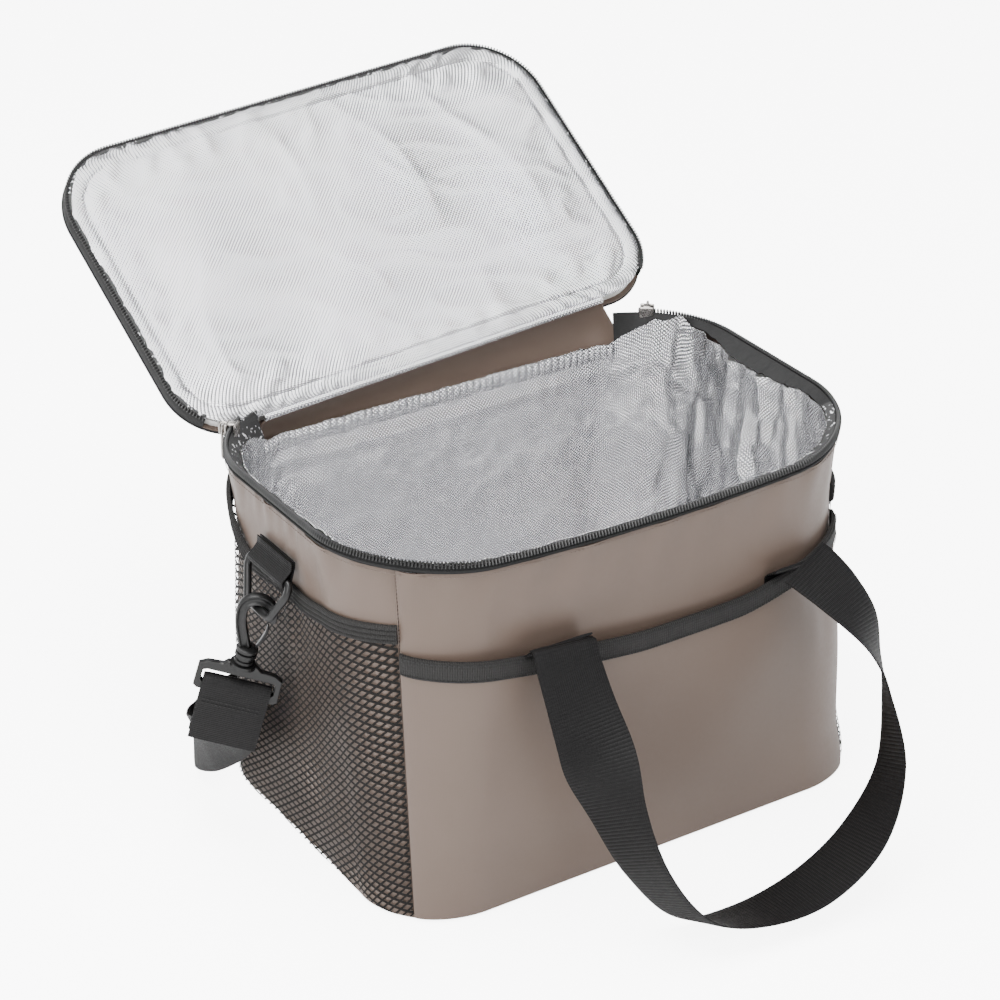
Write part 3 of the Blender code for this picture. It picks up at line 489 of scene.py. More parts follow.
def cloth(name, points, look, thickness, body=None, wrap=False, turn=1.0):
    """A sheet with real thickness from a grid of points on its outer face.
    turn is -1 where the grid's own normals point inwards."""
    n, m = points.shape[:2]
    under = points - grid_normals(points, wrap) * thickness * turn
    along = lengths(points, 0)
    across = lengths(points, 1)
    if wrap:
        closing = np.linalg.norm(points[0] - points[-1], axis=-1).mean()
        along = np.append(along, along[-1] + closing)
    top = np.arange(n * m).reshape(n, m)
    low = top + n * m
    faces, uv = [], []

    def quad(ids, places):
        order = ids if turn > 0 else ids[::-1]
        spots = places if turn > 0 else places[::-1]
        faces.append(tuple(int(i) for i in order))
        uv.extend(spots)

    for i in range(n if wrap else n - 1):
        j = (i + 1) % n
        a, b = along[i], along[i + 1]
        for k in range(m - 1):
            c, d = across[k], across[k + 1]
            spots = [(a, c), (b, c), (b, d), (a, d)]
            quad([top[i, k], top[j, k], top[j, k + 1], top[i, k + 1]], spots)
            quad([low[i, k + 1], low[j, k + 1], low[j, k], low[i, k]], spots[::-1])
        for k, flip in ((0, False), (m - 1, True)):
            c = across[k]
            ids = [top[i, k], low[i, k], low[j, k], top[j, k]]
            spots = [(a, c), (a, c + thickness), (b, c + thickness), (b, c)]
            quad(ids[::-1] if flip else ids, spots[::-1] if flip else spots)
    if not wrap:
        for i, flip in ((0, True), (n - 1, False)):
            for k in range(m - 1):
                ids = [top[i, k], low[i, k], low[i, k + 1], top[i, k + 1]]
                spots = [(along[i], across[k])] * 2 + [(along[i], across[k + 1])] * 2
                quad(ids[::-1] if flip else ids, spots[::-1] if flip else spots)
    both = np.concatenate([points.reshape(-1, 3), under.reshape(-1, 3)])
    return make_piece(name, both, faces, look, body, uv)


def single_layer(name, points, look, body):
    """An open sheet of one layer, for a net whose far side must not show twice."""
    n, m = points.shape[:2]
    along, across = lengths(points, 0), lengths(points, 1)
    faces, uv = [], []
    for i in range(n - 1):
        for k in range(m - 1):
            faces.append((i * m + k, (i + 1) * m + k, (i + 1) * m + k + 1, i * m + k + 1))
            uv += [(along[i], across[k]), (along[i + 1], across[k]),
                   (along[i + 1], across[k + 1]), (along[i], across[k + 1])]
    return make_piece(name, points, faces, look, body, uv)


def loft(name, rings, look, body=None, wrap=False, smooth_angle=40.0):
    """A solid from rings of points, capped at its ends unless it closes on itself."""
    n, m = rings.shape[:2]
    along = lengths(rings, 0)
    around = lengths(np.concatenate([rings, rings[:, :1]], axis=1), 1)
    if wrap:
        along = np.append(along, along[-1] + np.linalg.norm(rings[0] - rings[-1], axis=-1).mean())
    faces, uv = [], []
    for i in range(n if wrap else n - 1):
        j = (i + 1) % n
        for k in range(m):
            beside = (k + 1) % m
            faces.append((i * m + k, j * m + k, j * m + beside, i * m + beside))
            uv += [(along[i], around[k]), (along[i + 1], around[k]),
                   (along[i + 1], around[k + 1]), (along[i], around[k + 1])]
    if not wrap:
        for start, order in ((0, 1), ((n - 1) * m, -1)):
            cap = list(range(start, start + m))[::order]
            faces.append(tuple(cap))
            uv += [(along[0], around[k % m]) for k in range(m)]
    obj = make_piece(name, rings, faces, look, body, uv, smooth_angle)
    face_outwards(obj)
    return obj


def face_outwards(obj):
    shaped = bmesh.new()
    shaped.from_mesh(obj.data)
    bmesh.ops.recalc_face_normals(shaped, faces=shaped.faces)
    if shaped.calc_volume(signed=True) < 0.0:
        bmesh.ops.reverse_faces(shaped, faces=shaped.faces)
    shaped.to_mesh(obj.data)
    shaped.free()


def path_frames(path, up):
    """Unit tangents, sides and faces along a path, with up as the rough face direction."""
    path = np.asarray(path, float)
    tangent = unit(np.gradient(path, axis=0))
    up = np.broadcast_to(np.asarray(up, float), path.shape)
    side = unit(np.cross(tangent, up))
    return tangent, side, np.cross(side, tangent)


def rod(name, path, radius, look, body=None, wrap=False, sides=12, up=(0.0, 0.0, 1.0),
        squash=1.0):
    """A round or oval bar along a path."""
    path = np.asarray(path, float)
    if wrap:
        tangent = unit(np.roll(path, -1, axis=0) - np.roll(path, 1, axis=0))
        side = unit(np.cross(tangent, np.broadcast_to(np.asarray(up, float), path.shape)))
        face = np.cross(side, tangent)
    else:
        tangent, side, face = path_frames(path, up)
    turn = np.arange(sides) * math.tau / sides
    rings = (path[:, None] + side[:, None] * (np.cos(turn) * radius)[None, :, None]
             + face[:, None] * (np.sin(turn) * radius * squash)[None, :, None])
    return loft(name, rings, look, body, wrap)


def many(name, points, faces, places, look, body=None):
    """One mesh of many copies of a small closed shape, each set in its own axes."""
    points = np.asarray(points, float)
    count = len(points)
    everything = np.concatenate([points @ np.asarray(axes, float) + np.asarray(at, float)
                                 for at, axes in places])
    all_faces = [tuple(int(i) + k * count for i in face)
                 for k in range(len(places)) for face in faces]
    return make_piece(name, everything, all_faces, look, body)


def capsule(length, radius, height, sides=6):
    """A stubby stitch or tooth lying along its first axis."""
    stations = ((-0.5, 0.35), (-0.38, 0.9), (0.0, 1.0), (0.38, 0.9), (0.5, 0.35))
    points = [(length * s, radius * g * math.cos(math.tau * k / sides),
               height * g * math.sin(math.tau * k / sides))
              for s, g in stations for k in range(sides)]
    faces = []
    last = (len(stations) - 1) * sides
    for low in range(0, last, sides):
        for k in range(sides):
            beside = (k + 1) % sides
            faces.append((low + sides + k, low + sides + beside, low + beside, low + k))
    faces.append(tuple(range(sides)))
    faces.append(tuple(range(last, last + sides))[::-1])
    return points, faces


def along_path(path, pitch):
    """Evenly spaced points on a path, the unit tangents there, and the distances along it."""
    path = np.asarray(path, float)
    run = running_length(path)
    spots = np.arange(pitch / 2, run[-1] - pitch / 2 + 1e-9, pitch)
    ahead = at_spots(path, run, spots + pitch * 0.3) - at_spots(path, run, spots - pitch * 0.3)
    return at_spots(path, run, spots), unit(ahead), spots


def stitches(name, path, outward, look, body, pitch=3.2 * MM, length=2.3 * MM,
             radius=0.32 * MM):
    """A row of stitches along a path. outward is the cloth's normal, one or for each point."""
    path = np.asarray(path, float)
    places, ahead, spots = along_path(path, pitch)
    normals = np.broadcast_to(np.asarray(outward, float), path.shape)
    normals = unit(at_spots(normals, running_length(path), spots))
    points, faces = capsule(length, radius, radius * 0.8)
    sides = unit(np.cross(normals, ahead))
    axes = np.stack([ahead, sides, np.cross(ahead, sides)], axis=1)
    return many(name, points, faces, list(zip(places, axes)), look, body)


# ---------------------------------------------------------------- the bag's wall

CORNER_X = np.array([-1.0, 1.0, 1.0, -1.0])
CORNER_Y = np.array([-1.0, -1.0, 1.0, 1.0])
LEFT_WAIST, RIGHT_WAIST = math.radians(147.0), math.radians(-33.0)


def wall(q, z, outward=0.0):
    """Points on the wall. q runs round from 0 to 4, a unit to each side panel, from the
    front left corner by way of front, right, back and left. outward is off the wall."""
    q, z, outward = np.broadcast_arrays(np.asarray(q, float), z, outward)
    side = np.floor(q).astype(int) % 4
    v = q - np.floor(q)
    share = z / HEIGHT
    width = lerp(BASE_WIDTH, RIM_WIDTH, share) / 2 + outward
    depth = lerp(BASE_DEPTH, RIM_DEPTH, share) / 2 + outward
    radius = lerp(BASE_CORNER, RIM_CORNER, share) + outward
    along = np.clip((v - CORNER_SHARE) / (1.0 - 2.0 * CORNER_SHARE), 0.0, 1.0)
    swing = np.where(v < CORNER_SHARE, v / CORNER_SHARE,
                     np.where(v > 1.0 - CORNER_SHARE, 2.0 - (1.0 - v) / CORNER_SHARE, 1.0))
    angle = np.radians(225.0 + 90.0 * side + 45.0 * swing)
    after = (side + 1) % 4
    x = lerp(CORNER_X[side], CORNER_X[after], along) * (width - radius) + radius * np.cos(angle)
    y = lerp(CORNER_Y[side], CORNER_Y[after], along) * (depth - radius) + radius * np.sin(angle)
    across = np.clip(np.abs(x) / width, 0.0, 1.0)
    ahead = np.clip(-y / depth, 0.0, 1.0) ** 3 * (1.0 - across ** 2)
    y = y - FRONT_BOW * share ** 2 * ahead
    left = np.clip(np.cos(angle - LEFT_WAIST), 0.0, 1.0) ** 4 * smooth((0.214 - z) / 0.05) * 5.0 * MM
    right_shape = 5.0 * MM * np.exp(-((z - 0.160) / 0.045) ** 2) - 3.6 * MM * smooth((0.035 - z) / 0.03)
    right = np.clip(np.cos(angle - RIGHT_WAIST), 0.0, 1.0) ** 4 * right_shape
    x = x - np.cos(angle) * (left + right)
    y = y - np.sin(angle) * (left + right)
    drop = FRONT_SAG * share ** 6 * ahead
    return np.stack([x, y, z - drop], axis=-1)


def round_length(q_list, z=0.2):
    """Running distance along the wall for a list of q."""
    return running_length(wall(q_list, z))


def wall_run(start, end, spacing):
    """Values of q from start to end, evenly spaced along the wall."""
    fine = np.linspace(start, end, 600)
    run = round_length(fine)
    return np.interp(np.linspace(0.0, run[-1], max(2, int(run[-1] / spacing) + 1)), run, fine)


def q_of_x(x, side):
    """The q on the front or back wall at each x."""
    fine = np.linspace(side + 0.001, side + 0.999, 900)
    xs = wall(fine, 0.15)[:, 0]
    order = np.argsort(xs)
    return np.interp(x, xs[order], fine[order])


def wall_grid(q, low, high, outward, rows):
    """A grid of points on the wall. low and high give heights from q; outward is a
    function of (q, z, share of the height)."""
    share = np.linspace(0.0, 1.0, rows)
    z = low(q)[:, None] + (high(q) - low(q))[:, None] * share[None, :]
    qq = np.broadcast_to(q[:, None], z.shape)
    return wall(qq, z, outward(qq, z, share[None, :]))


def flat_height(value):
    return lambda q: np.full(np.shape(q), value)


def stepped(q, normal, at_back):
    """A height that drops to another along the straight of the back wall."""
    v = q - BACK
    share = np.minimum(v, 1.0 - v) * 4 / CORNER_SHARE - 1.0
    return lerp(normal, at_back, smooth(share))


def seam_pinch(q, depth=1.6 * MM, reach=0.012):
    """The cloth turns in at the seams in the corners."""
    v = q - np.floor(q)
    return -depth * np.exp(-np.minimum(v, 1.0 - v) / reach)


PANELS = (("front_panel", FRONT), ("right_side_panel", RIGHT), ("back_panel", BACK),
          ("left_side_panel", LEFT))


def outwards(q, z):
    """The direction straight off the wall."""
    return unit(wall(q, z, 1 * MM) - wall(q, z, 0.0))


def panel_drape(q, z, _share):
    """Gathers under the zip, slow waves over the cloth, and seams drawn in."""
    run = q * SIDE_RUN
    below = np.clip(PANEL_TOP - z, 0.0, 1.0)
    gathers = ripple(run, z * 0.25, 0.026, 5) * 1.5 * MM * np.exp(-below / 0.018)
    tucks = np.clip(ripple(run, z * 0.5, 0.060, 8), 0.0, 1.0) * 1.6 * MM
    tucks = tucks * np.exp(-((below - 0.018) / 0.016) ** 2)
    waves = ripple(run, z, 0.11, 12) * 0.9 * MM * smooth(below / 0.03)
    return gathers - tucks + waves + seam_pinch(q) - 0.2 * MM


def make_wall_panels():
    for name, side in PANELS:
        q = wall_run(side + 0.0008, side + 0.9992, 2.2 * MM)
        points = wall_grid(q, flat_height(1.9 * MM), lambda s: stepped(s, CLOTH_TOP, BACK_PANEL_TOP),
                           panel_drape, 84)
        panel = cloth(name + "_cloth", points, TAUPE, 1.0 * MM, "bag")
        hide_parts(name)


def make_base():
    """Base cloth with a rolled edge."""
    q = wall_run(0.0, 4.0, 3.0 * MM)[:-1]
    profile = ((0.0, 2.6), (-0.6, 1.2), (-2.0, 0.3), (-4.5, 0.0))
    rings = [wall(q, height * MM, off * MM) for off, height in profile]
    edge = np.stack(rings, axis=1)
    shares = np.linspace(1.0, 0.0, 12)[1:]
    inner = edge[:, -1]
    centre = inner.mean(axis=0)
    flat = np.stack([centre + (inner - centre) * max(s, 0.02) for s in shares], axis=1)
    points = np.concatenate([edge, flat], axis=1)
    base = cloth("base_cloth", points, TAUPE, 1.2 * MM, "bag", wrap=True, turn=-1.0)
    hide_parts("base_panel")


# ---------------------------------------------------------------- pockets

BINDING_MARKS = ((-0.160, 0.166), (-0.139, 0.1635), (-0.108, 0.1605), (-0.060, 0.1535), (-0.009, 0.149),
                 (0.035, 0.1475), (0.059, 0.148), (0.077, 0.152), (0.100, 0.158), (0.127, 0.1635),
                 (0.160, 0.167))
ELASTIC_MARKS = ((-0.110, 0.1825), (-0.083, 0.1805), (-0.060, 0.1775), (-0.021, 0.1722),
                 (0.035, 0.1712), (0.050, 0.184), (0.090, 0.197), (0.120, 0.202))


def curve_through(marks, values):
    """Smooth height through listed marks of (place, height)."""
    xs = np.array([m[0] for m in marks])
    ys = np.array([m[1] for m in marks])
    fine = np.linspace(xs[0], xs[-1], 400)
    rough = np.interp(fine, xs, ys)
    window = np.hanning(41)
    padded = np.pad(rough, 20, mode="edge")
    return np.interp(values, fine, np.convolve(padded, window / window.sum(), mode="valid"))


def binding_top(q):
    return curve_through(BINDING_MARKS, wall(q, 0.155)[..., 0])


def elastic_top(q):
    return curve_through(ELASTIC_MARKS, wall(q, 0.175)[..., 1]) - 1.0 * MM


def fullness(q):
    """Nothing at a side's two seams, and 1 midway."""
    return np.sin(np.pi * np.clip(q - np.floor(q), 0.0, 1.0)) ** 0.6


def front_pocket_off(q, z, share):
    """How far the pocket cloth stands off: fuller near its mouth, caught at its seams."""
    run = q * SIDE_RUN
    swell = 5.6 * MM * fullness(q) * share ** 0.75
    waves = ripple(run, z, 0.09, 21) * 1.4 * MM * smooth(share * 4.0) * fullness(q)
    v = q - np.floor(q)
    under_handle = np.exp(-((v - 0.86) / 0.05) ** 2) * np.exp(-((z - 0.125) / 0.03) ** 2)
    dent = (ripple(run, z * 0.4, 0.028, 23) * 1.3 * MM - 1.2 * MM) * under_handle
    return 1.4 * MM + swell + waves + dent + seam_pinch(q, 1.0 * MM)


def band(name, q, profile, look, body):
    """A band round the wall. profile gives (height, outward) round its section from q."""
    rings = np.stack([wall(q, *profile(q, k)) for k in range(profile.steps)], axis=1)
    return loft(name, rings, look, body)


class Section:
    """A flat section of a band: its outer face, rolled top, inner face and bottom."""

    def __init__(self, low, high, inner, thickness, ribs=0, face=9, rib_depth=0.0):
        self.low, self.high, self.inner = low, high, inner
        self.thickness, self.ribs, self.rib_depth = thickness, ribs, rib_depth
        shares = np.linspace(0.0, 1.0, face)
        self.outline = [(s, 1.0) for s in shares] + [(1.0, 0.5)]
        self.outline += [(s, 0.0) for s in shares[::-1][::4]]
        self.steps = len(self.outline)

    def __call__(self, q, k):
        share, out = self.outline[k]
        height = self.low(q) + (self.high(q) - self.low(q)) * share
        rounded = 1.0 - 0.35 * abs(2.0 * share - 1.0) ** 6
        thick = self.thickness * rounded
        if out == 1.0 and self.ribs:
            thick = thick + self.rib_depth * (abs(math.sin(math.pi * self.ribs * share)) - 0.5)
        return height, self.inner(q) + thick * out


def make_front_pocket():
    q = wall_run(FRONT + 0.0015, FRONT + 0.9985, 2.2 * MM)
    low = flat_height(2.0 * MM)
    points = wall_grid(q, low, lambda s: binding_top(s) - 3 * MM, front_pocket_off, 66)
    panel = cloth("front_pocket_cloth", points, TAUPE, 0.9 * MM, "bag")
    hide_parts("front_pocket_panel")

    def mouth(s):
        return front_pocket_off(s, binding_top(s) - 6 * MM, 1.0) - 1.1 * MM

    section = Section(lambda s: binding_top(s) - 12 * MM, binding_top, mouth, 2.7 * MM)
    strip = band("front_pocket_binding_tape", q, section, BINDING, "bag")
    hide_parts("front_pocket_binding")
    lower = wall(q, binding_top(q) - 10.9 * MM, mouth(q) + 2.75 * MM)
    upper = wall(q, binding_top(q) - 1.4 * MM, mouth(q) + 2.75 * MM)
    out = outwards(q, 0.15)
    stitches("binding_lower_stitches", lower, out, THREAD, "bag", 2.1 * MM, 1.8 * MM)
    stitches("binding_upper_stitches", upper, out, THREAD, "bag", 2.4 * MM, 1.8 * MM)


def net_off(q, z, share):
    """The net stands off in two lobes, gathered where the tab crosses its elastic."""
    run = q * SIDE_RUN
    v = q - np.floor(q)
    lobes = np.sin(2.0 * np.pi * v) ** 2
    gather = np.exp(-((v - 0.5) / 0.10) ** 2) * share ** 2
    folds = ripple(run, z * 0.15, 0.012, 31) * 1.2 * MM * gather
    waves = ripple(run, z, 0.07, 33) * 0.7 * MM * fullness(q)
    swell = 0.5 * MM + 0.7 * MM * fullness(q) + 1.5 * MM * lobes * share ** 0.8
    return swell + folds + waves + seam_pinch(q, 0.8 * MM)


def make_side_pocket(label, side):
    q = wall_run(side + 0.002, side + 0.998, 2.2 * MM)
    points = wall_grid(q, flat_height(2.2 * MM), lambda s: elastic_top(s) - 6 * MM, net_off, 60)
    net = single_layer("net_" + label, points, NET_CLOTH, "bag")
    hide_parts("mesh_pocket_" + label)

    def under(s):
        return net_off(s, elastic_top(s) - 5 * MM, 1.0) - 0.9 * MM

    section = Section(lambda s: elastic_top(s) - 11 * MM, elastic_top, under, 2.3 * MM, 4, 25, 0.9 * MM)
    strip = band("pocket_elastic_band_" + label, q, section, BINDING, "bag")
    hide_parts("pocket_elastic_" + label)


# ---------------------------------------------------------------- zip round the rim

def rim_q():
    """The stretch with a zip: left, front and right, and a little past the back corners."""
    return wall_run(LEFT - ZIP_PAST_CORNER, LEFT + 3 + ZIP_PAST_CORNER, 2.0 * MM)


def tooth():
    """One turn of the coil: a bent bar over the tape's edge."""
    return capsule(4.0 * MM, 0.66 * MM, 1.3 * MM, 8)


def make_rim_zip():
    q = rim_q()
    section = Section(flat_height(CLOTH_TOP + GAP), flat_height(ZIP_TAPE_TOP), flat_height(-0.9 * MM),
                      1.5 * MM)
    tape = band("rim_zip_tape", q, section, TAPE_CLOTH, "bag")
    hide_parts("body_zip_tape")
    places, ahead, _ = along_path(wall(q, COIL_HEIGHT, 0.3 * MM), COIL_PITCH)
    out = unit(np.cross(ahead, np.array([0.0, 0.0, 1.0])))
    up = np.cross(out, ahead)
    tilt = unit(up * 0.86 - out * 0.50)
    axes = np.stack([tilt, ahead, np.cross(tilt, ahead)], axis=1)
    points, faces = tooth()
    teeth = many("rim_zip_teeth", points, faces, list(zip(places, axes)), TEETH, "bag")
    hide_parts("body_zip_teeth")
    cord_path = wall(q, 0.2148, 0.9 * MM)
    rod("rim_zip_cord", cord_path, 0.7 * MM, TAPE_CLOTH, "bag", sides=8)
    seam = wall(q, CLOTH_TOP - 1.6 * MM, 0.75 * MM)
    stitches("rim_zip_stitches", seam, outwards(q, 0.2), TAUPE, "bag", 2.6 * MM, 1.9 * MM)
    for label, start, end, look in (("front", LEFT - 0.10, LEFT + 2.1, FLECKED),
                                    ("right", LEFT + 2.1, LEFT + 3.10, TAPE_CLOTH)):
        make_inner_tape(label, wall_run(start, end, 2.0 * MM), look)


def make_inner_tape(label, q, look):
    """Zip tape inside the rim, from the teeth down to the film's hem."""
    hem = hem_inset(q)
    share = np.linspace(0.0, 1.0, 9)[None, :]
    top = COIL_HEIGHT - 0.5 * MM
    z = top + (hem_height(q) - 0.5 * MM - top)[:, None] * share
    qq = np.broadcast_to(q[:, None], z.shape)
    sag = ripple(qq * SIDE_RUN, z, 0.02, 41) * 0.5 * MM * np.sin(np.pi * share)
    points = wall(qq, z, lerp(-1.4 * MM, -hem[:, None] - 0.4 * MM, share) + sag)
    cloth("rim_inner_tape_" + label, points, look, 0.6 * MM, "bag", turn=-1.0)


# Where the film's upper edge lies round the rim: q with a height, and with a distance in mm
# inside the wall.
HEM_HEIGHTS = ((0.0, 0.2150), (0.5, 0.2165), (1.0, 0.2165), (1.3, 0.2140), (1.6, 0.2125),
               (1.85, 0.2165), (2.0, 0.2165), (2.06, 0.2080), (2.12, 0.1990), (2.88, 0.1985),
               (2.95, 0.2080), (3.05, 0.2120), (3.3, 0.2110), (3.7, 0.2120), (4.0, 0.2150))
HEM_INSETS = ((0.0, 5.2), (0.5, 4.6), (1.0, 5.5), (1.2, 7.5), (1.4, 11.0), (1.6, 12.5),
              (1.75, 10.5), (1.9, 7.5), (2.0, 7.0), (2.1, 7.0), (3.0, 7.0), (3.5, 8.0), (4.0, 5.2))


def hem_height(q):
    turn = np.mod(q, 4.0)
    ragged = ripple(turn * SIDE_RUN, 0.0, 0.012, 51) * 0.8 * MM
    peak = 5.5 * MM * np.exp(-((turn - 1.93) / 0.022) ** 2)
    return np.interp(turn, [m[0] for m in HEM_HEIGHTS], [m[1] for m in HEM_HEIGHTS]) + ragged + peak


def hem_inset(q):
    turn = np.mod(q, 4.0)
    return np.interp(turn, [m[0] for m in HEM_INSETS], [m[1] for m in HEM_INSETS]) * MM


# ---------------------------------------------------------------- foil lining

LINING = 7.4 * MM


def lining_off(q, z, share):
    """The film hangs loose inside the foam: folds at the right, creases at the back."""
    turn = np.mod(q, 4.0)
    run = turn * SIDE_RUN
    right = smooth(1.0 - np.abs(turn - 1.55) / 0.62)
    back = smooth(1.0 - np.abs(turn - 2.5) / 0.5)
    base = lerp(LINING, hem_inset(q), smooth((z - 0.185) / 0.03))
    lively = 0.45 + 0.75 * right
    crumple = (crease(run, z, 0.035, 61) * 1.2 + crease(run, z, 0.014, 62) * 0.7) * MM * lively
    folds = np.clip(ripple(run, z * 0.35, 0.030, 63), 0.0, 1.0) * 6.0 * MM * right * smooth(share * 1.6)
    shelf = np.exp(-((z - 0.180) / 0.004) ** 2) * 2.2 * MM * back
    billow = (ripple(run * 0.6, z * 1.4, 0.09, 64) + 0.9) * 1.0 * MM
    near_floor = smooth(share * 8.0)
    return -(base + (crumple + folds + shelf + billow) * near_floor)


def make_lining():
    q = wall_run(0.0, 4.0, 2.2 * MM)[:-1]
    points = wall_grid(q, flat_height(8.2 * MM), hem_height, lining_off, 84)
    walls = cloth("foil_walls", points, FOIL, 0.3 * MM, "bag", wrap=True, turn=-1.0)
    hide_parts("liner_walls")
    floor_edge = wall(q, 8.4 * MM, -LINING - 0.6 * MM)
    centre = floor_edge.mean(axis=0)
    shares = np.linspace(1.0, 0.02, 40)
    rings = np.stack([centre + (floor_edge - centre) * s for s in shares], axis=1)
    x, y = rings[..., 0], rings[..., 1]
    middle = (1.0 - shares[None, :] ** 8)
    rings[..., 2] += (crease(x, y, 0.05, 71) * 1.3 + crease(x, y, 0.025, 72) * 0.6) * MM * middle
    floor = cloth("foil_floor", rings, FOIL, 0.3 * MM, "bag", wrap=True, turn=1.0)
    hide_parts("liner_floor")
    make_back_hem()


def make_back_hem():
    """The film's gathered hem along the top of the back wall."""
    q = wall_run(BACK + 0.10, BACK + 0.905, 0.55 * MM)
    run = round_length(q)
    pleat = np.abs(np.sin(math.pi * run / (4.6 * MM))) * (0.4 + 0.6 * smooth((0.93 - (q - BACK)) / 0.4))
    jitter = ripple(run, 0.0, 0.02, 81)
    share = np.linspace(0.0, 1.0, 9)[None, :]
    low = 0.1885
    high = 0.1995 + jitter * 0.7 * MM + pleat * 0.6 * MM
    z = low + (high - low)[:, None] * share
    qq = np.broadcast_to(q[:, None], z.shape)
    belly = np.sin(np.pi * share) * 1.0 * MM + pleat[:, None] * 1.7 * MM * share ** 0.5
    points = wall(qq, z, -(8.0 * MM + belly))
    cloth("foil_back_hem", points, FOIL, 0.4 * MM, "bag", turn=-1.0)


# ---------------------------------------------------------------- lid

def lid_half_width(y, inset=0.0):
    """Half the lid's width at a depth, narrowing round its corners."""
    front, back = LID_FRONT + inset, LID_BACK - inset
    half = LID_WIDTH / 2 - inset
    fr, br = LID_FRONT_CORNER - inset, LID_BACK_CORNER - inset
    into_front = np.clip(front + fr - y, 0.0, fr)
    into_back = np.clip(y - (back - br), 0.0, br)
    narrowed_front = half - fr + np.sqrt(np.maximum(fr ** 2 - into_front ** 2, 0.0))
    narrowed_back = half - br + np.sqrt(np.maximum(br ** 2 - into_back ** 2, 0.0))
    width = np.where(into_front > 0.0, narrowed_front, half)
    return np.where(into_back > 0.0, narrowed_back, width)


def lid_edge_distance(x, y):
    """How far a point lies inside the lid's outline."""
    half = LID_WIDTH / 2
    u = np.abs(x - LID_SHIFT)
    radius = np.where(y < 0.0, LID_FRONT_CORNER, LID_BACK_CORNER)
    edge = np.where(y < 0.0, y - LID_FRONT, LID_BACK - y)
    side = half - u
    both = (side < radius) & (edge < radius)
    corner = radius - np.hypot(radius - side, radius - edge)
    return np.where(both, corner, np.minimum(side, edge))


def lid_rest(points):
    """Closed place to resting place."""
    turn = np.array(LID_PLACE)
    return points @ turn[:3, :3].T + turn[:3, 3]


def lid_grid(inset, columns, rows):
    """A grid over the closed lid, closer towards its front and back edges."""
    spread = np.sin(np.linspace(-math.pi / 2, math.pi / 2, rows))
    y = lerp(LID_FRONT + inset, LID_BACK - inset, (spread + 1.0) / 2)
    x = np.linspace(-1.0, 1.0, columns)[:, None] * lid_half_width(y, inset)[None, :] + LID_SHIFT
    return x, np.broadcast_to(y[None, :], x.shape)


def lid_outline(inset, step=2.0 * MM, whole=True):
    """The outline from back right by way of the front to back left, and on along the back."""
    half = LID_WIDTH / 2 - inset
    points = []
    corners = ((1, LID_BACK - inset, LID_BACK_CORNER - inset, 90.0 if whole else 45.0, 0.0),
               (1, LID_FRONT + inset, LID_FRONT_CORNER - inset, 0.0, -90.0),
               (-1, LID_FRONT + inset, LID_FRONT_CORNER - inset, -90.0, -180.0),
               (-1, LID_BACK - inset, LID_BACK_CORNER - inset, -180.0, -270.0 if whole else -225.0))
    for sign, edge, radius, start, end in corners:
        centre_y = edge - radius if edge > 0 else edge + radius
        for turn in np.radians(np.linspace(start, end, 24)):
            points.append((sign * (half - radius) + radius * math.cos(turn) + LID_SHIFT,
                           centre_y + radius * math.sin(turn)))
    if whole:
        points.append(points[0])
    points = np.array(points)
    run = running_length(points)
    spots = np.linspace(0.0, run[-1], int(run[-1] / step))
    return at_spots(points, run, spots[:-1] if whole else spots)


def lid_ring(inset, height, whole=True, step=2.0 * MM):
    flat = lid_outline(inset, step, whole)
    return lid_rest(np.column_stack([flat, np.full(len(flat), height)]))


def lid_band(profile):
    """Rings round the lid's three zipped sides. profile holds (inset in mm, height)."""
    count = len(lid_outline(0.0, 2.0 * MM, False))
    rings = []
    for inset, height in profile:
        flat = lid_outline(inset * MM, 2.0 * MM, False)
        flat = at_spots(flat, np.arange(len(flat)), np.linspace(0, len(flat) - 1, count))
        rings.append(lid_rest(np.column_stack([flat, np.full(count, height)])))
    return np.stack(rings, axis=1)


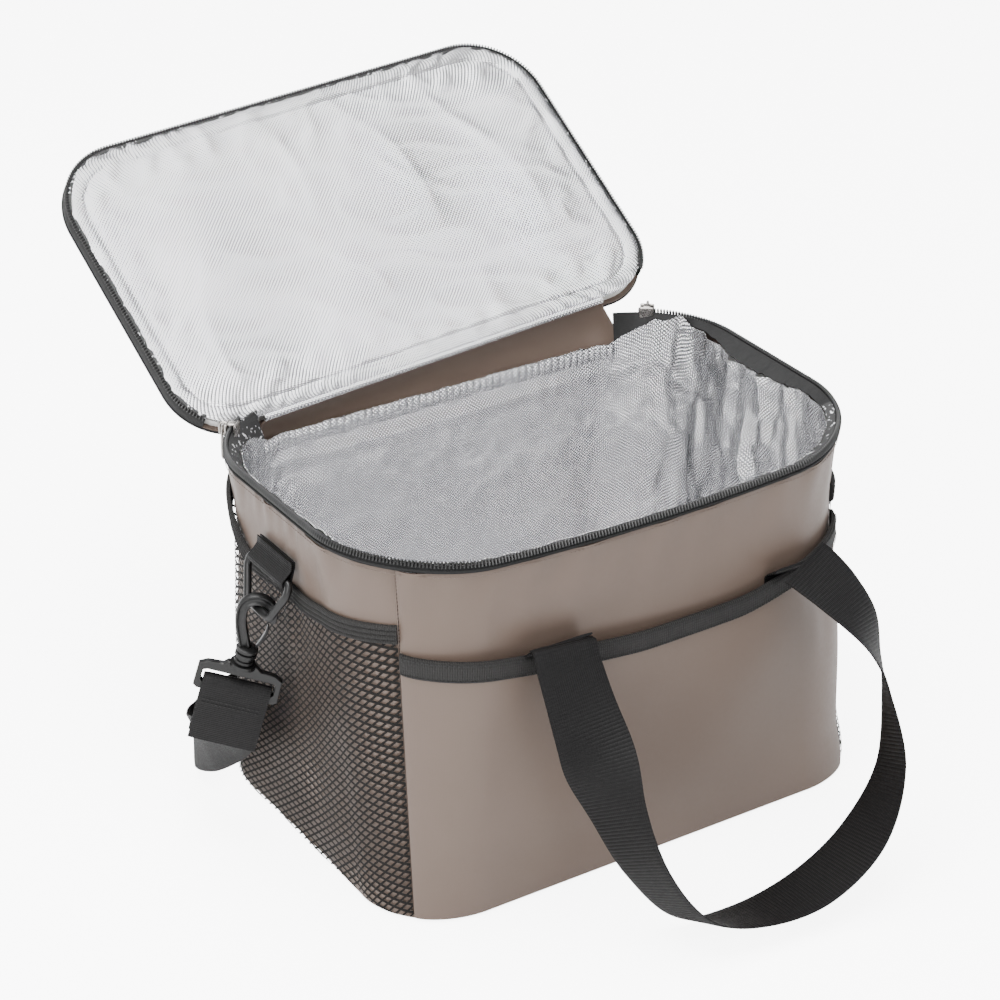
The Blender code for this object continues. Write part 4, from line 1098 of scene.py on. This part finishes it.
def make_lid_foil():
    """Film under the lid: a stitched hem, gathers at the corners, slack in the middle."""
    x, y = lid_grid(2.6 * MM, 190, 120)
    inside = lid_edge_distance(x, y)
    hem = np.exp(-((inside - HEM_WIDTH) / (1.1 * MM)) ** 2)
    bearing = np.arctan2(y + 0.01, (x - LID_SHIFT) * 0.8)
    corner = smooth(1.0 - np.abs(np.abs(np.abs(bearing) - math.pi / 2) - 0.72) / 0.35)
    gathers = np.sin(bearing * 90.0 + ripple(x, y, 0.03, 91) * 3.0) * 0.7 * MM
    gathers = gathers * np.clip(1.0 - inside / (HEM_WIDTH * 1.3), 0.0, 1.0) * (0.15 + corner)
    slack = smooth((inside - HEM_WIDTH) / 0.02)
    puckers = np.clip(ripple(x, y, 0.018, 96), 0.0, 1.0) * np.exp(-((inside - 0.022) / 0.014) ** 2)
    billow = (ripple(x, y, 0.12, 92) * 1.6 + ripple(x * 0.5, y, 0.05, 95) * 0.6) * MM * slack
    creases = (crease(x, y, 0.10, 93) ** 3 * 1.0 + crease(x * 0.6, y * 1.4, 0.04, 94) ** 2 * 0.9) * MM
    edge_puff = np.exp(-((inside - HEM_WIDTH / 2) / 4.5 / MM) ** 2) * 0.8 * MM
    drop = gathers + billow + puckers * 1.3 * MM + creases * smooth(inside / 0.008) + edge_puff
    drop = drop - hem * 1.2 * MM
    z = LID_LINER_Z - 1.3 * MM - drop * smooth(inside / (5 * MM))
    points = lid_rest(np.stack([x, y, z], axis=-1))
    film = cloth("lid_foil", points, FOIL, 0.4 * MM, "lid", turn=-1.0)
    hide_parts("lid_liner")
    line = lid_outline(HEM_WIDTH, 1.0 * MM)
    z_line = np.full(len(line), LID_LINER_Z - 0.2 * MM)
    row = lid_rest(np.column_stack([line, z_line]))
    down = -np.array(LID_PLACE)[:3, 2]
    stitches("lid_foil_stitches", row, down, THREAD, "lid", 3.0 * MM, 1.9 * MM, 0.28 * MM)


def make_lid_pad():
    """The lid's padded top: crowned, drawn in at its edge, with slow waves."""
    x, y = lid_grid(0.3 * MM, 120, 80)
    inside = lid_edge_distance(x, y)
    crown = 3.2 * MM * (1.0 - np.exp(-inside / 0.014))
    waves = (ripple(x, y, 0.09, 101) * 0.8 + ripple(x, y, 0.04, 102) * 0.25) * MM * smooth(inside / 0.02)
    z = LID_TOP_Z - 0.9 * MM + crown + waves
    points = lid_rest(np.stack([x, y, z], axis=-1))
    top = cloth("lid_top_cloth", points, TAUPE, 1.0 * MM, "lid")
    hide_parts("lid_outer_panel")
    x, y = lid_grid(3.4 * MM, 60, 40)
    upper = np.stack([x, y, np.full(x.shape, LID_TOP_Z - 1.6 * MM)
                      + 2.0 * MM * (1.0 - np.exp(-lid_edge_distance(x, y) / 0.02))], axis=-1)
    depth = 4.2 * MM
    pad = cloth("lid_pad", lid_rest(upper), FOAM, depth, "lid")
    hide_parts("lid_foam")


def make_lid_zip():
    """Tape round the lid's edge, the coil under it, piping, and tape turned in to the film."""
    edge = lid_band(((0.2, 0.2240), (-0.2, 0.2262), (-0.2, 0.2300), (0.3, 0.2322), (1.6, 0.2322),
                     (1.9, 0.2300), (1.9, 0.2262), (1.6, 0.2240)))
    tape = loft("lid_zip_tape_cloth", edge, TAPE_CLOTH, "lid")
    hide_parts("lid_zip_tape")
    up = np.array(LID_PLACE)[:3, 2]
    places, ahead, _ = along_path(lid_ring(1.3 * MM, 0.2240, whole=False), COIL_PITCH)
    out = unit(np.cross(up, ahead)) * -1.0
    tilt = unit(out * 0.75 + up * 0.66)
    axes = np.stack([tilt, ahead, np.cross(tilt, ahead)], axis=1)
    points, faces = tooth()
    teeth = many("lid_zip_teeth_row", points, faces, list(zip(places, axes)), TEETH, "lid")
    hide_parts("lid_zip_teeth")
    rod("lid_piping", lid_ring(0.6 * MM, LID_TOP_Z - 0.2 * MM), 1.1 * MM, TAPE_CLOTH, "lid",
        wrap=True, sides=8, up=tuple(up))
    turned_in = lid_band(((1.6, 0.2244), (2.2, 0.2236), (3.6, 0.2232), (5.2, 0.2236)))
    cloth("lid_inner_tape", turned_in, FLECKED, 0.5 * MM, "lid")


def make_hinge():
    """Cloth from the back wall up to the lid."""
    x = np.linspace(-0.127, 0.133, 140)
    q = q_of_x(x, BACK)
    foot = wall(q, 0.1935, -1.2 * MM)
    lid_x = np.clip(x * 0.985, -0.117, 0.120)
    head = lid_rest(np.column_stack([lid_x, np.full(len(x), LID_BACK + 0.2 * MM), np.full(len(x), 0.2266)]))
    share = np.linspace(0.0, 1.0, 22)[None, :, None]
    points = foot[:, None] * (1.0 - share) + head[:, None] * share
    slack = 1.6 * MM + ripple(x, 0.0, 0.05, 111)[:, None] * 0.8 * MM
    points[..., 1] += np.sin(np.pi * share[..., 0]) * slack
    strip = cloth("hinge_cloth", points, TAUPE, 0.9 * MM, None)
    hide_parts("hinge_strip", "lid_hinge_hem")
    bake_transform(strip)
    hem_path = lid_rest(np.column_stack([lid_x, np.full(len(x), LID_BACK - 1.0 * MM),
                                         np.full(len(x), 0.2243)]))
    rod("lid_back_roll", hem_path, 2.0 * MM, FOIL, "lid", sides=10)


# ---------------------------------------------------------------- sliders and pullers

SLIDER_ANGLES = {"left": 45.0, "right": 50.0}
PIN_OUT, PIN_HEIGHT = 4.4 * MM, 0.2196


def corner_axes(label):
    """Centre of a back corner, and a slider's axes there: along the zip, outwards, and up."""
    side_x = -1.0 if label == "left" else 1.0
    turn = math.radians(SLIDER_ANGLES[label])
    centre = np.array([side_x * (RIM_WIDTH / 2 - RIM_CORNER), RIM_DEPTH / 2 - RIM_CORNER, 0.0])
    out = np.array([side_x * math.cos(turn), math.sin(turn), 0.0])
    along = -np.cross(out, np.array([0.0, 0.0, 1.0]))
    return centre, np.stack([along, out, np.array([0.0, 0.0, 1.0])], axis=0)


def rounded_box(name, low, high, axes, origin, look, body, soften=0.6 * MM):
    """A block with softened edges, given in its own axes."""
    shaped = bmesh.new()
    bmesh.ops.create_cube(shaped, size=1.0)
    low, high = np.array(low, float), np.array(high, float)
    for vertex in shaped.verts:
        vertex.co = Vector(tuple(np.array(vertex.co) * (high - low) + (low + high) / 2))
    bmesh.ops.bevel(shaped, geom=list(shaped.edges), offset=soften, segments=3, profile=0.5,
                    affect="EDGES")
    points = np.array([tuple(v.co) for v in shaped.verts])
    shaped.verts.index_update()
    faces = [tuple(v.index for v in face.verts) for face in shaped.faces]
    shaped.free()
    return make_piece(name, points @ axes + origin, faces, look, body)


def make_slider(label):
    """Two plates joined by a neck, with a bail for the puller. Blocks are along, out, up in mm."""
    centre, axes = corner_axes(label)
    body = "slider_" + label
    origin = centre + axes[1] * RIM_CORNER
    blocks = (("face", (-4.3, 1.3, 212.2), (4.3, 3.1, 222.0), 0.8),
              ("back", (-4.3, -4.0, 212.2), (4.3, -2.4, 222.0), 0.8),
              ("neck", (-2.2, -2.8, 219.9), (2.2, 1.7, 222.2), 0.6))
    for part, low, high, soften in blocks:
        block = rounded_box(f"slider_{part}_{label}", np.array(low) * MM, np.array(high) * MM, axes,
                            origin, NICKEL, body, soften * MM)
        if part == "face":
            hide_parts("slider_" + label)
    arch = [(2.4, 221.2), (4.0, 221.9), (5.8, 221.6), (6.7, 220.2), (6.8, 217.6), (6.6, 215.2),
            (5.6, 214.3), (4.0, 214.3), (2.7, 214.8)]
    path = np.array([origin + axes[1] * y * MM + axes[2] * z * MM for y, z in arch])
    rod("slider_bail_" + label, path, 0.8 * MM, NICKEL, body, up=tuple(axes[0]))


def make_puller(label):
    """Flat tongue with an eye, hanging from the bail."""
    centre, axes = corner_axes(label)
    pin = centre + axes[1] * (RIM_CORNER + PIN_OUT) + axes[2] * PIN_HEIGHT
    run = -axes[2]
    outline = ((-3.4, -0.7), (3.4, -0.7), (4.2, 3.0), (4.8, 11.0), (4.6, 17.0), (3.0, 19.4),
               (0.0, 20.4), (-3.0, 19.4), (-4.6, 17.0), (-4.8, 11.0), (-4.2, 3.0))
    hole = ((-2.0, 0.7), (2.0, 0.7), (2.3, 3.0), (2.3, 7.0), (1.9, 8.6), (1.0, 9.4), (0.0, 9.6),
            (-1.0, 9.4), (-1.9, 8.6), (-2.3, 7.0), (-2.3, 3.0))
    frame_axes = np.stack([axes[0], run, np.cross(axes[0], run)])
    tongue = holed_plate("puller_tongue_" + label, outline, hole, 1.3, frame_axes, pin, NICKEL,
                         "puller_" + label)
    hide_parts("puller_" + label)


def holed_plate(name, outline, hole, thick, axes, origin, look, body):
    """A plate in millimetres with one hole, its rims softened. Both outlines have the same
    number of points, matched one to one."""
    outer = np.array(outline, float) * MM
    inner = np.array(hole, float) * MM
    half = thick / 2 * MM
    soft = min(0.35 * MM, half * 0.7)
    toward = unit(inner - outer) * soft
    loops = [(outer, -half + soft), (outer, half - soft), (outer + toward, half),
             (inner - toward, half), (inner, half - soft), (inner, -half + soft),
             (inner - toward, -half), (outer + toward, -half)]
    rings = np.stack([np.column_stack([flat, np.full(len(flat), height)]) for flat, height in loops],
                     axis=1)
    return loft(name, rings @ axes + origin, look, body, wrap=True)


# ---------------------------------------------------------------- webbing

def spline(rows, step=1.0 * MM):
    """Catmull-Rom curve through rows of numbers, evenly stepped along its first three."""
    rows = np.asarray(rows, float)
    ends = np.concatenate([[2 * rows[0] - rows[1]], rows, [2 * rows[-1] - rows[-2]]])
    t = np.linspace(0.0, 1.0, 24, endpoint=False)[:, None]
    parts = []
    for i in range(len(rows) - 1):
        p0, p1, p2, p3 = ends[i:i + 4]
        parts.append(0.5 * (2 * p1 + (p2 - p0) * t + (2 * p0 - 5 * p1 + 4 * p2 - p3) * t ** 2
                            + (3 * p1 - p0 - 3 * p2 + p3) * t ** 3))
    fine = np.concatenate(parts + [rows[-1:]])
    run = running_length(fine[:, :3])
    return at_spots(fine, run, np.linspace(0.0, run[-1], max(2, int(run[-1] / step))))


def webbing(name, rows, width, thickness, look, body, step=0.6 * MM,
            rib=2.1 * MM, relief=0.14 * MM):
    """Flat woven strap. rows hold x, y, z in millimetres and the direction of its width."""
    rows = np.array([(x * MM, y * MM, z * MM, *across) for x, y, z, across in rows])
    curve = spline(rows, step)
    centre, across = curve[:, :3], unit(curve[:, 3:])
    tangent = unit(np.gradient(centre, axis=0))
    side = unit(across - tangent * (across * tangent).sum(axis=1, keepdims=True))
    face = np.cross(tangent, side)
    ridge = (np.abs(np.sin(math.pi * running_length(centre) / rib)) - 0.5) * relief
    spots = np.linspace(-1.0, 1.0, 13)
    edge = 1.0 - 0.55 * np.abs(spots) ** 10
    rings = []
    for sign in (1.0, -1.0):
        for s, e in zip(spots[::int(sign)], edge[::int(sign)]):
            lift = sign * (thickness / 2 * e + ridge * e)
            rings.append(centre + side * (s * width / 2) + face * lift[:, None])
    return loft(name, np.stack(rings, axis=1), look, body, smooth_angle=60.0)


FRONT_HANDLE = (
    (-65, -124.6, 160.5, (-1.00, 0.00, 0.10)), (-65, -128.5, 159.5, (-1.00, 0.0, 0.10)),
    (-65, -133, 150, (-1.00, -0.01, 0.06)),
    (-64, -143, 131, (-1.00, 0.04, -0.04)), (-63, -153, 114, (-0.95, 0.18, -0.25)),
    (-59, -169, 80, (-0.38, 0.80, -0.47)), (-50, -187, 45, (-0.10, 0.87, -0.48)),
    (-30, -202, 17, (0.02, 0.89, -0.46)), (3, -208, 9.5, (0.06, 0.95, -0.29)),
    (43, -211, 15, (0.06, 0.99, -0.14)), (79, -209, 35, (0.04, 0.98, -0.22)),
    (103, -200, 67, (0.22, 0.86, -0.46)), (112, -181, 103, (0.50, 0.74, -0.45)),
    (113, -170, 120, (0.66, 0.66, -0.37)), (111, -157, 136, (0.87, 0.47, -0.15)),
    (105, -142, 149, (0.94, 0.35, 0.03)), (99, -130, 157.5, (0.95, 0.28, 0.12)),
    (96, -124.0, 160.5, (0.95, 0.26, 0.14)),
)
BACK_HANDLE_HALF = (
    (80, 116.0, 166.0, (1.00, 0.00, 0.00)), (80.5, 118.2, 148, (1.00, 0.03, 0.00)),
    (81, 120.5, 128, (1.00, 0.05, 0.00)),
    (80, 130.0, 88, (0.86, 0.50, 0.05)), (71, 144.5, 46, (0.25, 0.95, 0.15)),
    (45, 149.5, 17, (0.08, 1.00, 0.05)), (0, 150.5, 8, (0.00, 1.00, 0.00)),
)


def whole_back_handle():
    """The right half, then its mirror image from the bottom up."""
    other = [(-x, y, z, (-a, b, c)) for x, y, z, (a, b, c) in reversed(BACK_HANDLE_HALF[:-1])]
    return list(BACK_HANDLE_HALF) + other


def make_handles():
    """Both loops, and the ends sewn behind the pocket's binding and on the back wall."""
    front = webbing("front_handle_web", FRONT_HANDLE, HANDLE_WIDTH, 1.5 * MM, WEBBING, "front_handle")
    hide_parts("front_handle")
    back = webbing("back_handle_web", whole_back_handle(), HANDLE_WIDTH, 1.5 * MM, WEBBING, "back_handle")
    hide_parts("back_handle")
    for label, x in (("left", -65), ("right", 97)):
        q = float(q_of_x(x * MM, FRONT))
        back = wall(q, 0.150, 1.2 * MM)[1] / MM
        rows = [(x, y, z, (1.0, 0.0, 0.0)) for y, z in
                ((back, 143), (back, 148), (back - 0.8, 153), (-122.0, 158.0), (-124.4, 160.6))]
        stub = webbing("front_handle_end_" + label, rows, HANDLE_WIDTH, 1.5 * MM, WEBBING, "bag")
        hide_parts("front_handle_anchor_" + label)
    for label, x in (("left", -80), ("right", 80)):
        rows = [(x, y, z, (1.0, 0.0, 0.0)) for y, z in
                ((115.0, 112), (114.4, 130), (113.6, 150), (114.2, 162), (116.0, 166.0))]
        stub = webbing("back_handle_end_" + label, rows, HANDLE_WIDTH, 1.5 * MM, WEBBING, "bag")
        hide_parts("back_handle_anchor_" + label)
        box_stitch("back_handle_stitches_" + label, x * MM, 0.1155, 0.114, 0.148)


def box_stitch(name, x, y, low, high):
    """A sewn square with a cross in it, on the back wall."""
    half = 16 * MM
    corners = ((-half, low), (half, low), (half, high), (-half, high), (-half, low), (half, high),
               (half, low), (-half, high))
    path = []
    for (x0, z0), (x1, z1) in zip(corners, corners[1:]):
        for t in np.linspace(0.0, 1.0, 12):
            path.append((x + lerp(x0, x1, t), y + 0.4 * MM, lerp(z0, z1, t)))
    stitches(name, path, (0.0, 1.0, 0.0), THREAD, "bag", 3.0 * MM, 2.2 * MM)


# ---------------------------------------------------------------- strap hardware

RING_AXIS_X, RING_AXIS_Z = -0.1700, 0.1780
RING_LEAN = math.radians(20.0)
RING_DROP = 23.5 * MM
RING_FOOT = np.array([RING_AXIS_X - RING_DROP * math.sin(RING_LEAN), 0.0,
                      RING_AXIS_Z - RING_DROP * math.cos(RING_LEAN)])
HOOK_ACROSS = unit(np.array([0.811, -0.519, -0.270]))
HOOK_UP = unit(np.array([0.227, -0.145, 0.963]))
HOOK_FACE = np.cross(HOOK_ACROSS, HOOK_UP)
HOOK_CENTRE = RING_FOOT - HOOK_UP * 2.2 * MM
MIRROR_X = np.array([-1.0, 1.0, 1.0])


def hook_at(u, w, n=0.0):
    """From the hook's own axes, in millimetres, to the bag's frame."""
    return HOOK_CENTRE + (HOOK_ACROSS * u + HOOK_UP * w + HOOK_FACE * n) * MM


def sided(points, label):
    """Points on the left, mirrored for the right."""
    points = np.asarray(points, float)
    return points if label == "left" else points * MIRROR_X


def arc(cx, cy, radius, start, end, count=8):
    """Points on an arc, from one bearing to another in degrees."""
    return [(cx + radius * math.cos(math.radians(t)), cy + radius * math.sin(math.radians(t)))
            for t in np.linspace(start, end, count)]


def make_tab(label):
    """Doubled webbing sewn to the wall and folded round the ring's top bar."""
    wall_x = wall(LEFT + 0.5, 0.190)[0] * 1000
    ax, az = RING_AXIS_X * 1000, RING_AXIS_Z * 1000
    bar_radius, clearance, half_web = 1.9, 0.4, 0.7
    loop = bar_radius + clearance + half_web
    near = min(wall_x - 1.2, -165.0)
    rows = [(near, 189.5), (near, 187.0), (near - 0.6, 184.5)]
    rows += [(ax + loop * math.cos(math.radians(t)), az + loop * math.sin(math.radians(t)))
             for t in range(20, -241, -26)]
    rows += [(near - 2.6, 184.5), (near - 1.9, 187.0), (near - 1.8, 189.5)]
    sx = 1.0 if label == "left" else -1.0
    route = [(x * sx, 0.0, z, (0.0, 1.0, 0.0)) for x, z in rows]
    tab = webbing("ring_tab_web_" + label, route, STRAP_WIDTH, 1.3 * MM, STRAP_WEB, "bag", step=0.5 * MM,
                  rib=1.2 * MM, relief=0.05 * MM)
    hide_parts("ring_tab_" + label)
    x = sx * (near - 2.7) * MM
    for k, z in enumerate((0.1850, 0.1880)):
        path = [(x, y * MM, z) for y in np.linspace(-16, 16, 20)]
        stitches(f"ring_tab_stitches_{label}_{k}", path, (-sx, 0.0, 0.0), THREAD, "bag",
                 2.6 * MM, 2.0 * MM)


def make_ring(label):
    """Ring hanging from the tab: a straight bar at the top, narrower at its foot."""
    down = np.array([-math.sin(RING_LEAN), 0.0, -math.cos(RING_LEAN)])
    top = np.array([RING_AXIS_X, 0.0, RING_AXIS_Z])
    flat = arc(18.5, 3.0, 3.0, -90, -10, 6) + [(21.4, 6.5)]
    flat += arc(10.0, 19.5, 4.0, 15, 90, 6)
    path = [top + np.array([0.0, y * MM, 0.0]) + down * d * MM for y, d in flat]
    path += [top - np.array([0.0, y * MM, 0.0]) + down * d * MM for y, d in reversed(flat)]
    path = resample_loop(sided(path, label), 90)
    normal = sided([np.cross([0.0, 1.0, 0.0], down)], label)[0]
    ring = rod("ring_" + label, path, 2.45 * MM, PLASTIC, "ring_" + label, wrap=True,
               sides=14, up=tuple(normal), squash=0.85)
    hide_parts("d_ring_" + label)


def resample_loop(points, count):
    """Evenly spaced points round a closed path."""
    closed = np.concatenate([points, points[:1]])
    run = running_length(closed)
    return at_spots(closed, run, np.linspace(0.0, run[-1], count, endpoint=False))


def plane_sweep(name, path, section, label, look, body):
    """Sweeps a section along a path in the hook's plane. section holds (in plane, depth)."""
    path = spline([(u, w, 0.0) for u, w in path], 0.9)
    tangent = unit(np.gradient(path, axis=0))
    side = np.column_stack([tangent[:, 1], -tangent[:, 0], np.zeros(len(path))])
    taper = np.ones(len(path))
    taper[:3], taper[-3:] = (0.55, 0.8, 0.95), (0.95, 0.8, 0.5)
    rings = []
    for a, n in section:
        spot = path + side * a * taper[:, None]
        rings.append([hook_at(u, w, n * t) for (u, w, _), t in zip(spot, taper)])
    rings = sided(np.stack([np.array(r) for r in rings], axis=1), label)
    return loft(name, rings, look, body)


def ribbed_section(half_width, half_depth, groove):
    """Two rounded ribs with a groove between them on both faces."""
    quarter = [(0.0, half_depth - groove), (0.38, half_depth - groove * 0.6), (0.6, half_depth),
               (0.85, half_depth * 0.94), (1.0, half_depth * 0.55)]
    right = [(s * half_width, d) for s, d in quarter]
    top = [(-a, d) for a, d in reversed(right[1:])] + right
    return top + [(a, -d) for a, d in reversed(top)]


def lathe(name, profile, label, look, body):
    """Turned about the hook's swivel axis. profile holds (radius, place) in millimetres."""
    rings = []
    for k in range(28):
        turn = math.tau * k / 28
        rings.append([hook_at(r * math.cos(turn), w, r * math.sin(turn)) for r, w in profile])
    return loft(name, sided(rings, label), look, body, wrap=True)


def make_hook(label):
    body = "hook_" + label
    shank = [(-0.8, -24.0), (-2.6, -20.0), (-5.0, -14.0), (-7.4, -7.0), (-8.3, 0.0)]
    bight = arc(0.0, 0.0, 8.3, 158, 12, 9)
    tip = [(8.4, -1.5), (7.9, -4.2)]
    hook = plane_sweep("hook_body_" + label, shank + bight + tip, ribbed_section(3.1, 2.8, 1.0), label,
                       PLASTIC, body)
    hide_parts("snap_hook_" + label)
    collar = ((2.0, -22.0), (5.0, -22.2), (6.1, -22.9), (6.1, -24.6), (5.2, -25.1), (4.9, -25.6),
              (6.0, -26.0), (6.1, -27.6), (4.8, -28.2), (4.8, -29.9), (5.7, -30.3), (5.7, -31.8),
              (5.0, -32.2), (3.6, -32.2), (3.6, -25.2), (2.0, -24.8))
    lathe("hook_collar_" + label, collar, label, PLASTIC, body)
    gate = [(4.2, -21.5), (5.6, -18.0), (7.0, -13.5), (7.8, -9.5), (7.6, -6.0)]
    leaf = plane_sweep("gate_leaf_" + label, gate, ((-0.8, 1.6), (0.0, 2.0), (0.8, 1.6), (0.8, -1.6),
                       (0.0, -2.0), (-0.8, -1.6)), label, PLASTIC, "gate_" + label)
    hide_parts("hook_gate_" + label)


def make_strap_base(label):
    """Flat frame with shoulders and a slot for the webbing, and the stem of the swivel."""
    body = "strap_end_" + label
    outline = ((0.0, -33.2), (8.0, -33.2), (10.5, -35.6), (19.0, -36.2), (23.4, -38.8), (23.6, -52.4),
               (21.5, -54.0), (0.0, -54.0), (-21.5, -54.0), (-23.6, -52.4), (-23.4, -38.8),
               (-19.0, -36.2), (-10.5, -35.6), (-8.0, -33.2))
    slot = ((0.0, -41.0), (8.0, -41.0), (10.5, -41.0), (18.0, -41.0), (20.2, -42.0), (20.4, -48.0),
            (19.0, -49.4), (0.0, -49.4), (-19.0, -49.4), (-20.4, -48.0), (-20.2, -42.0), (-18.0, -41.0),
            (-10.5, -41.0), (-8.0, -41.0))
    axes = sided(np.stack([HOOK_ACROSS, HOOK_UP, HOOK_FACE]), label)
    origin = sided([HOOK_CENTRE], label)[0]
    plate = holed_plate("strap_frame_" + label, subdivided(outline), subdivided(slot), 4.2, axes, origin,
                        PLASTIC, body)
    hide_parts("strap_base_" + label)
    stem = ((0.5, -25.2), (3.2, -25.2), (3.2, -32.4), (7.2, -32.6), (7.4, -34.6), (0.5, -34.8))
    lathe("strap_stem_" + label, stem, label, PLASTIC, body)


def subdivided(points, parts=3):
    """Adds points along each side of an outline."""
    result = []
    for a, b in zip(points, points[1:] + points[:1]):
        for k in range(parts):
            result.append((lerp(a[0], b[0], k / parts), lerp(a[1], b[1], k / parts)))
    return result


def make_strap_end(label):
    """The strap's end: through the slot and turned down in front, and sewn."""
    across = tuple(sided([HOOK_ACROSS], label)[0])
    rows = ((3.6, -85.0), (3.9, -74.0), (3.7, -64.0), (3.9, -53.0), (3.1, -47.0), (0.0, -44.6),
            (-3.1, -47.0), (-3.7, -53.0), (-3.4, -62.0), (-3.7, -74.5))
    route = [(*(sided([hook_at(0.0, w, n)], label)[0] / MM), across) for n, w in rows]
    end = webbing("strap_end_web_" + label, route, STRAP_WIDTH, 1.4 * MM, STRAP_WEB,
                  "strap_end_" + label, rib=1.2 * MM, relief=0.05 * MM, step=0.8 * MM)
    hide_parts("strap_end_" + label)
    out = sided([HOOK_FACE], label)[0]
    for k, w in enumerate((-58.5, -60.8)):
        path = [sided([hook_at(u, w, 4.7)], label)[0] for u in np.linspace(-17, 17, 20)]
        stitches(f"strap_end_stitches_{label}_{k}", path, out, THREAD, "strap_end_" + label,
                 2.5 * MM, 1.9 * MM)


STRAP_DROP = (
    (-190.0, 34.0, 59.0, (0.55, -0.50, -0.66)), (-186.0, 62.0, 40.0, (0.25, -0.20, -0.95)),
    (-176.0, 92.0, 25.0, (0.0, 0.0, -1.0)), (-158.0, 112.0, 19.8, (0.0, 0.0, -1.0)),
)
STRAP_FLOOR = (
    (-134, 121.0, 0), (-104, 122.0, 0), (-50, 121.6, 0), (0, 121.4, 0), (50, 121.6, 0),
    (70, 121.9, 0.8), (92, 124.0, 3.4), (121, 124.2, 3.4), (150, 123.6, 3.4), (168, 116.5, 1.5),
    (182, 102.0, 0), (190, 88.0, 2.0),
)
STRAP_RISE = (
    (194.5, 68.0, 27.0, (-0.10, -0.10, -0.99)),
    (195.5, 40.0, 47.0, (-0.55, -0.45, -0.70)),
)
FLOOR_ROW = 19.6


def make_shoulder_strap():
    """One long strap behind the bag, in two lengths that meet on the floor."""
    hanging = [hook_at(0.0, -74.0 - drop, -3.7) for drop in (0.6, 4.0, 7.5, 11.0)]
    left = [(*(p / MM), tuple(HOOK_ACROSS)) for p in hanging] + list(STRAP_DROP)
    floor = [(x, y, FLOOR_ROW + lift, (0.0, 0.0, -1.0)) for x, y, lift in STRAP_FLOOR]
    mirrored = tuple(HOOK_ACROSS * MIRROR_X)
    right = list(STRAP_RISE) + [(*(p * MIRROR_X / MM), mirrored) for p in reversed(hanging)]
    join = 4
    first = left + floor[:join]
    second = floor[join - 1:] + right
    for label, route in (("left", first), ("right", second)):
        piece = webbing("shoulder_strap_" + label, route, STRAP_WIDTH, 1.4 * MM, STRAP_WEB, None,
                        step=1.4 * MM, rib=1.2 * MM, relief=0.0)
        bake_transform(piece)
        if label == "left":
            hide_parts("shoulder_strap")


def make_adjuster():
    """Three-bar slide on the strap."""
    low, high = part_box("strap_adjuster")
    centre = (np.array(low) + np.array(high)) / 2
    half_z = (high.z - low.z) / 2 / MM
    outline = ((-13.0, -half_z + 2), (-11.5, -half_z), (11.5, -half_z), (13.0, -half_z + 2),
               (13.0, half_z - 2), (11.5, half_z), (-11.5, half_z), (-13.0, half_z - 2))
    slot = ((-9.4, -half_z + 3.4), (-8.8, -half_z + 2.9), (8.8, -half_z + 2.9), (9.4, -half_z + 3.4),
            (9.4, half_z - 3.4), (8.8, half_z - 2.9), (-8.8, half_z - 2.9), (-9.4, half_z - 3.4))
    axes = np.array([[1.0, 0.0, 0.0], [0.0, 0.0, 1.0], [0.0, -1.0, 0.0]])
    plate = holed_plate("adjuster_frame", subdivided(outline), subdivided(slot), 3.0, axes,
                        centre + np.array([0.0, 1.4 * MM, 0.0]), PLASTIC, "adjuster")
    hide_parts("strap_adjuster")
    bar = [centre + np.array([0.0, -1.9 * MM, z * MM]) for z in np.linspace(-half_z + 1, half_z - 1, 12)]
    rod("adjuster_bar", bar, 1.6 * MM, PLASTIC, "adjuster", up=(0.0, 1.0, 0.0),
        squash=0.7)


# ---------------------------------------------------------------- foam and carried-over nodes

def make_foam():
    """Soft boards between the cloth and the film, and the board in the base."""
    for label, side in (("front", FRONT), ("right", RIGHT), ("back", BACK), ("left", LEFT)):
        q = wall_run(side + 0.004, side + 0.996, 4.0 * MM)
        points = wall_grid(q, flat_height(9.0 * MM), lambda s: stepped(s, 0.2080, BACK_PANEL_TOP - 1 * MM),
                           lambda qq, z, share: panel_drape(qq, z, share) - 1.3 * MM, 50)
        board = cloth(label + "_foam_board", points, FOAM, 2.6 * MM, "bag")
        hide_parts(label + "_foam")
    edge = wall(wall_run(0.0, 4.0, 5.0 * MM)[:-1], 6.8 * MM, -3.4 * MM)
    centre = edge.mean(axis=0)
    points = np.stack([centre + (edge - centre) * s for s in np.linspace(1.0, 0.02, 14)], axis=1)
    board = cloth("base_board", points, FOAM, 4.0 * MM, "bag", wrap=True)
    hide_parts("base_foam")


def finish_frame_nodes():
    """The zip's end tabs keep their shape and get a finish."""
    for name in ("zip_end_tab_left", "zip_end_tab_right"):
        node = frame["nodes"][name]
        node.data.materials.clear()
        node.data.materials.append(TAPE_CLOTH)


def make_floor():
    size = 6.0
    points = [(-size, -size, 0.0), (size, -size, 0.0), (size, size, 0.0), (-size, size, 0.0)]
    floor = make_piece("studio_floor", points, [(0, 1, 2, 3)], FLOOR)


make_camera()
make_lights()
make_floor()
make_wall_panels()
make_base()
make_front_pocket()
make_side_pocket("left", LEFT)
make_side_pocket("right", RIGHT)
make_foam()
make_lining()
make_rim_zip()
make_lid_foil()
make_lid_pad()
make_lid_zip()
make_hinge()
make_handles()
for side_label in ("left", "right"):
    make_slider(side_label)
    make_puller(side_label)
    make_tab(side_label)
    make_ring(side_label)
    make_hook(side_label)
    make_strap_base(side_label)
    make_strap_end(side_label)
make_shoulder_strap()
make_adjuster()
finish_frame_nodes()
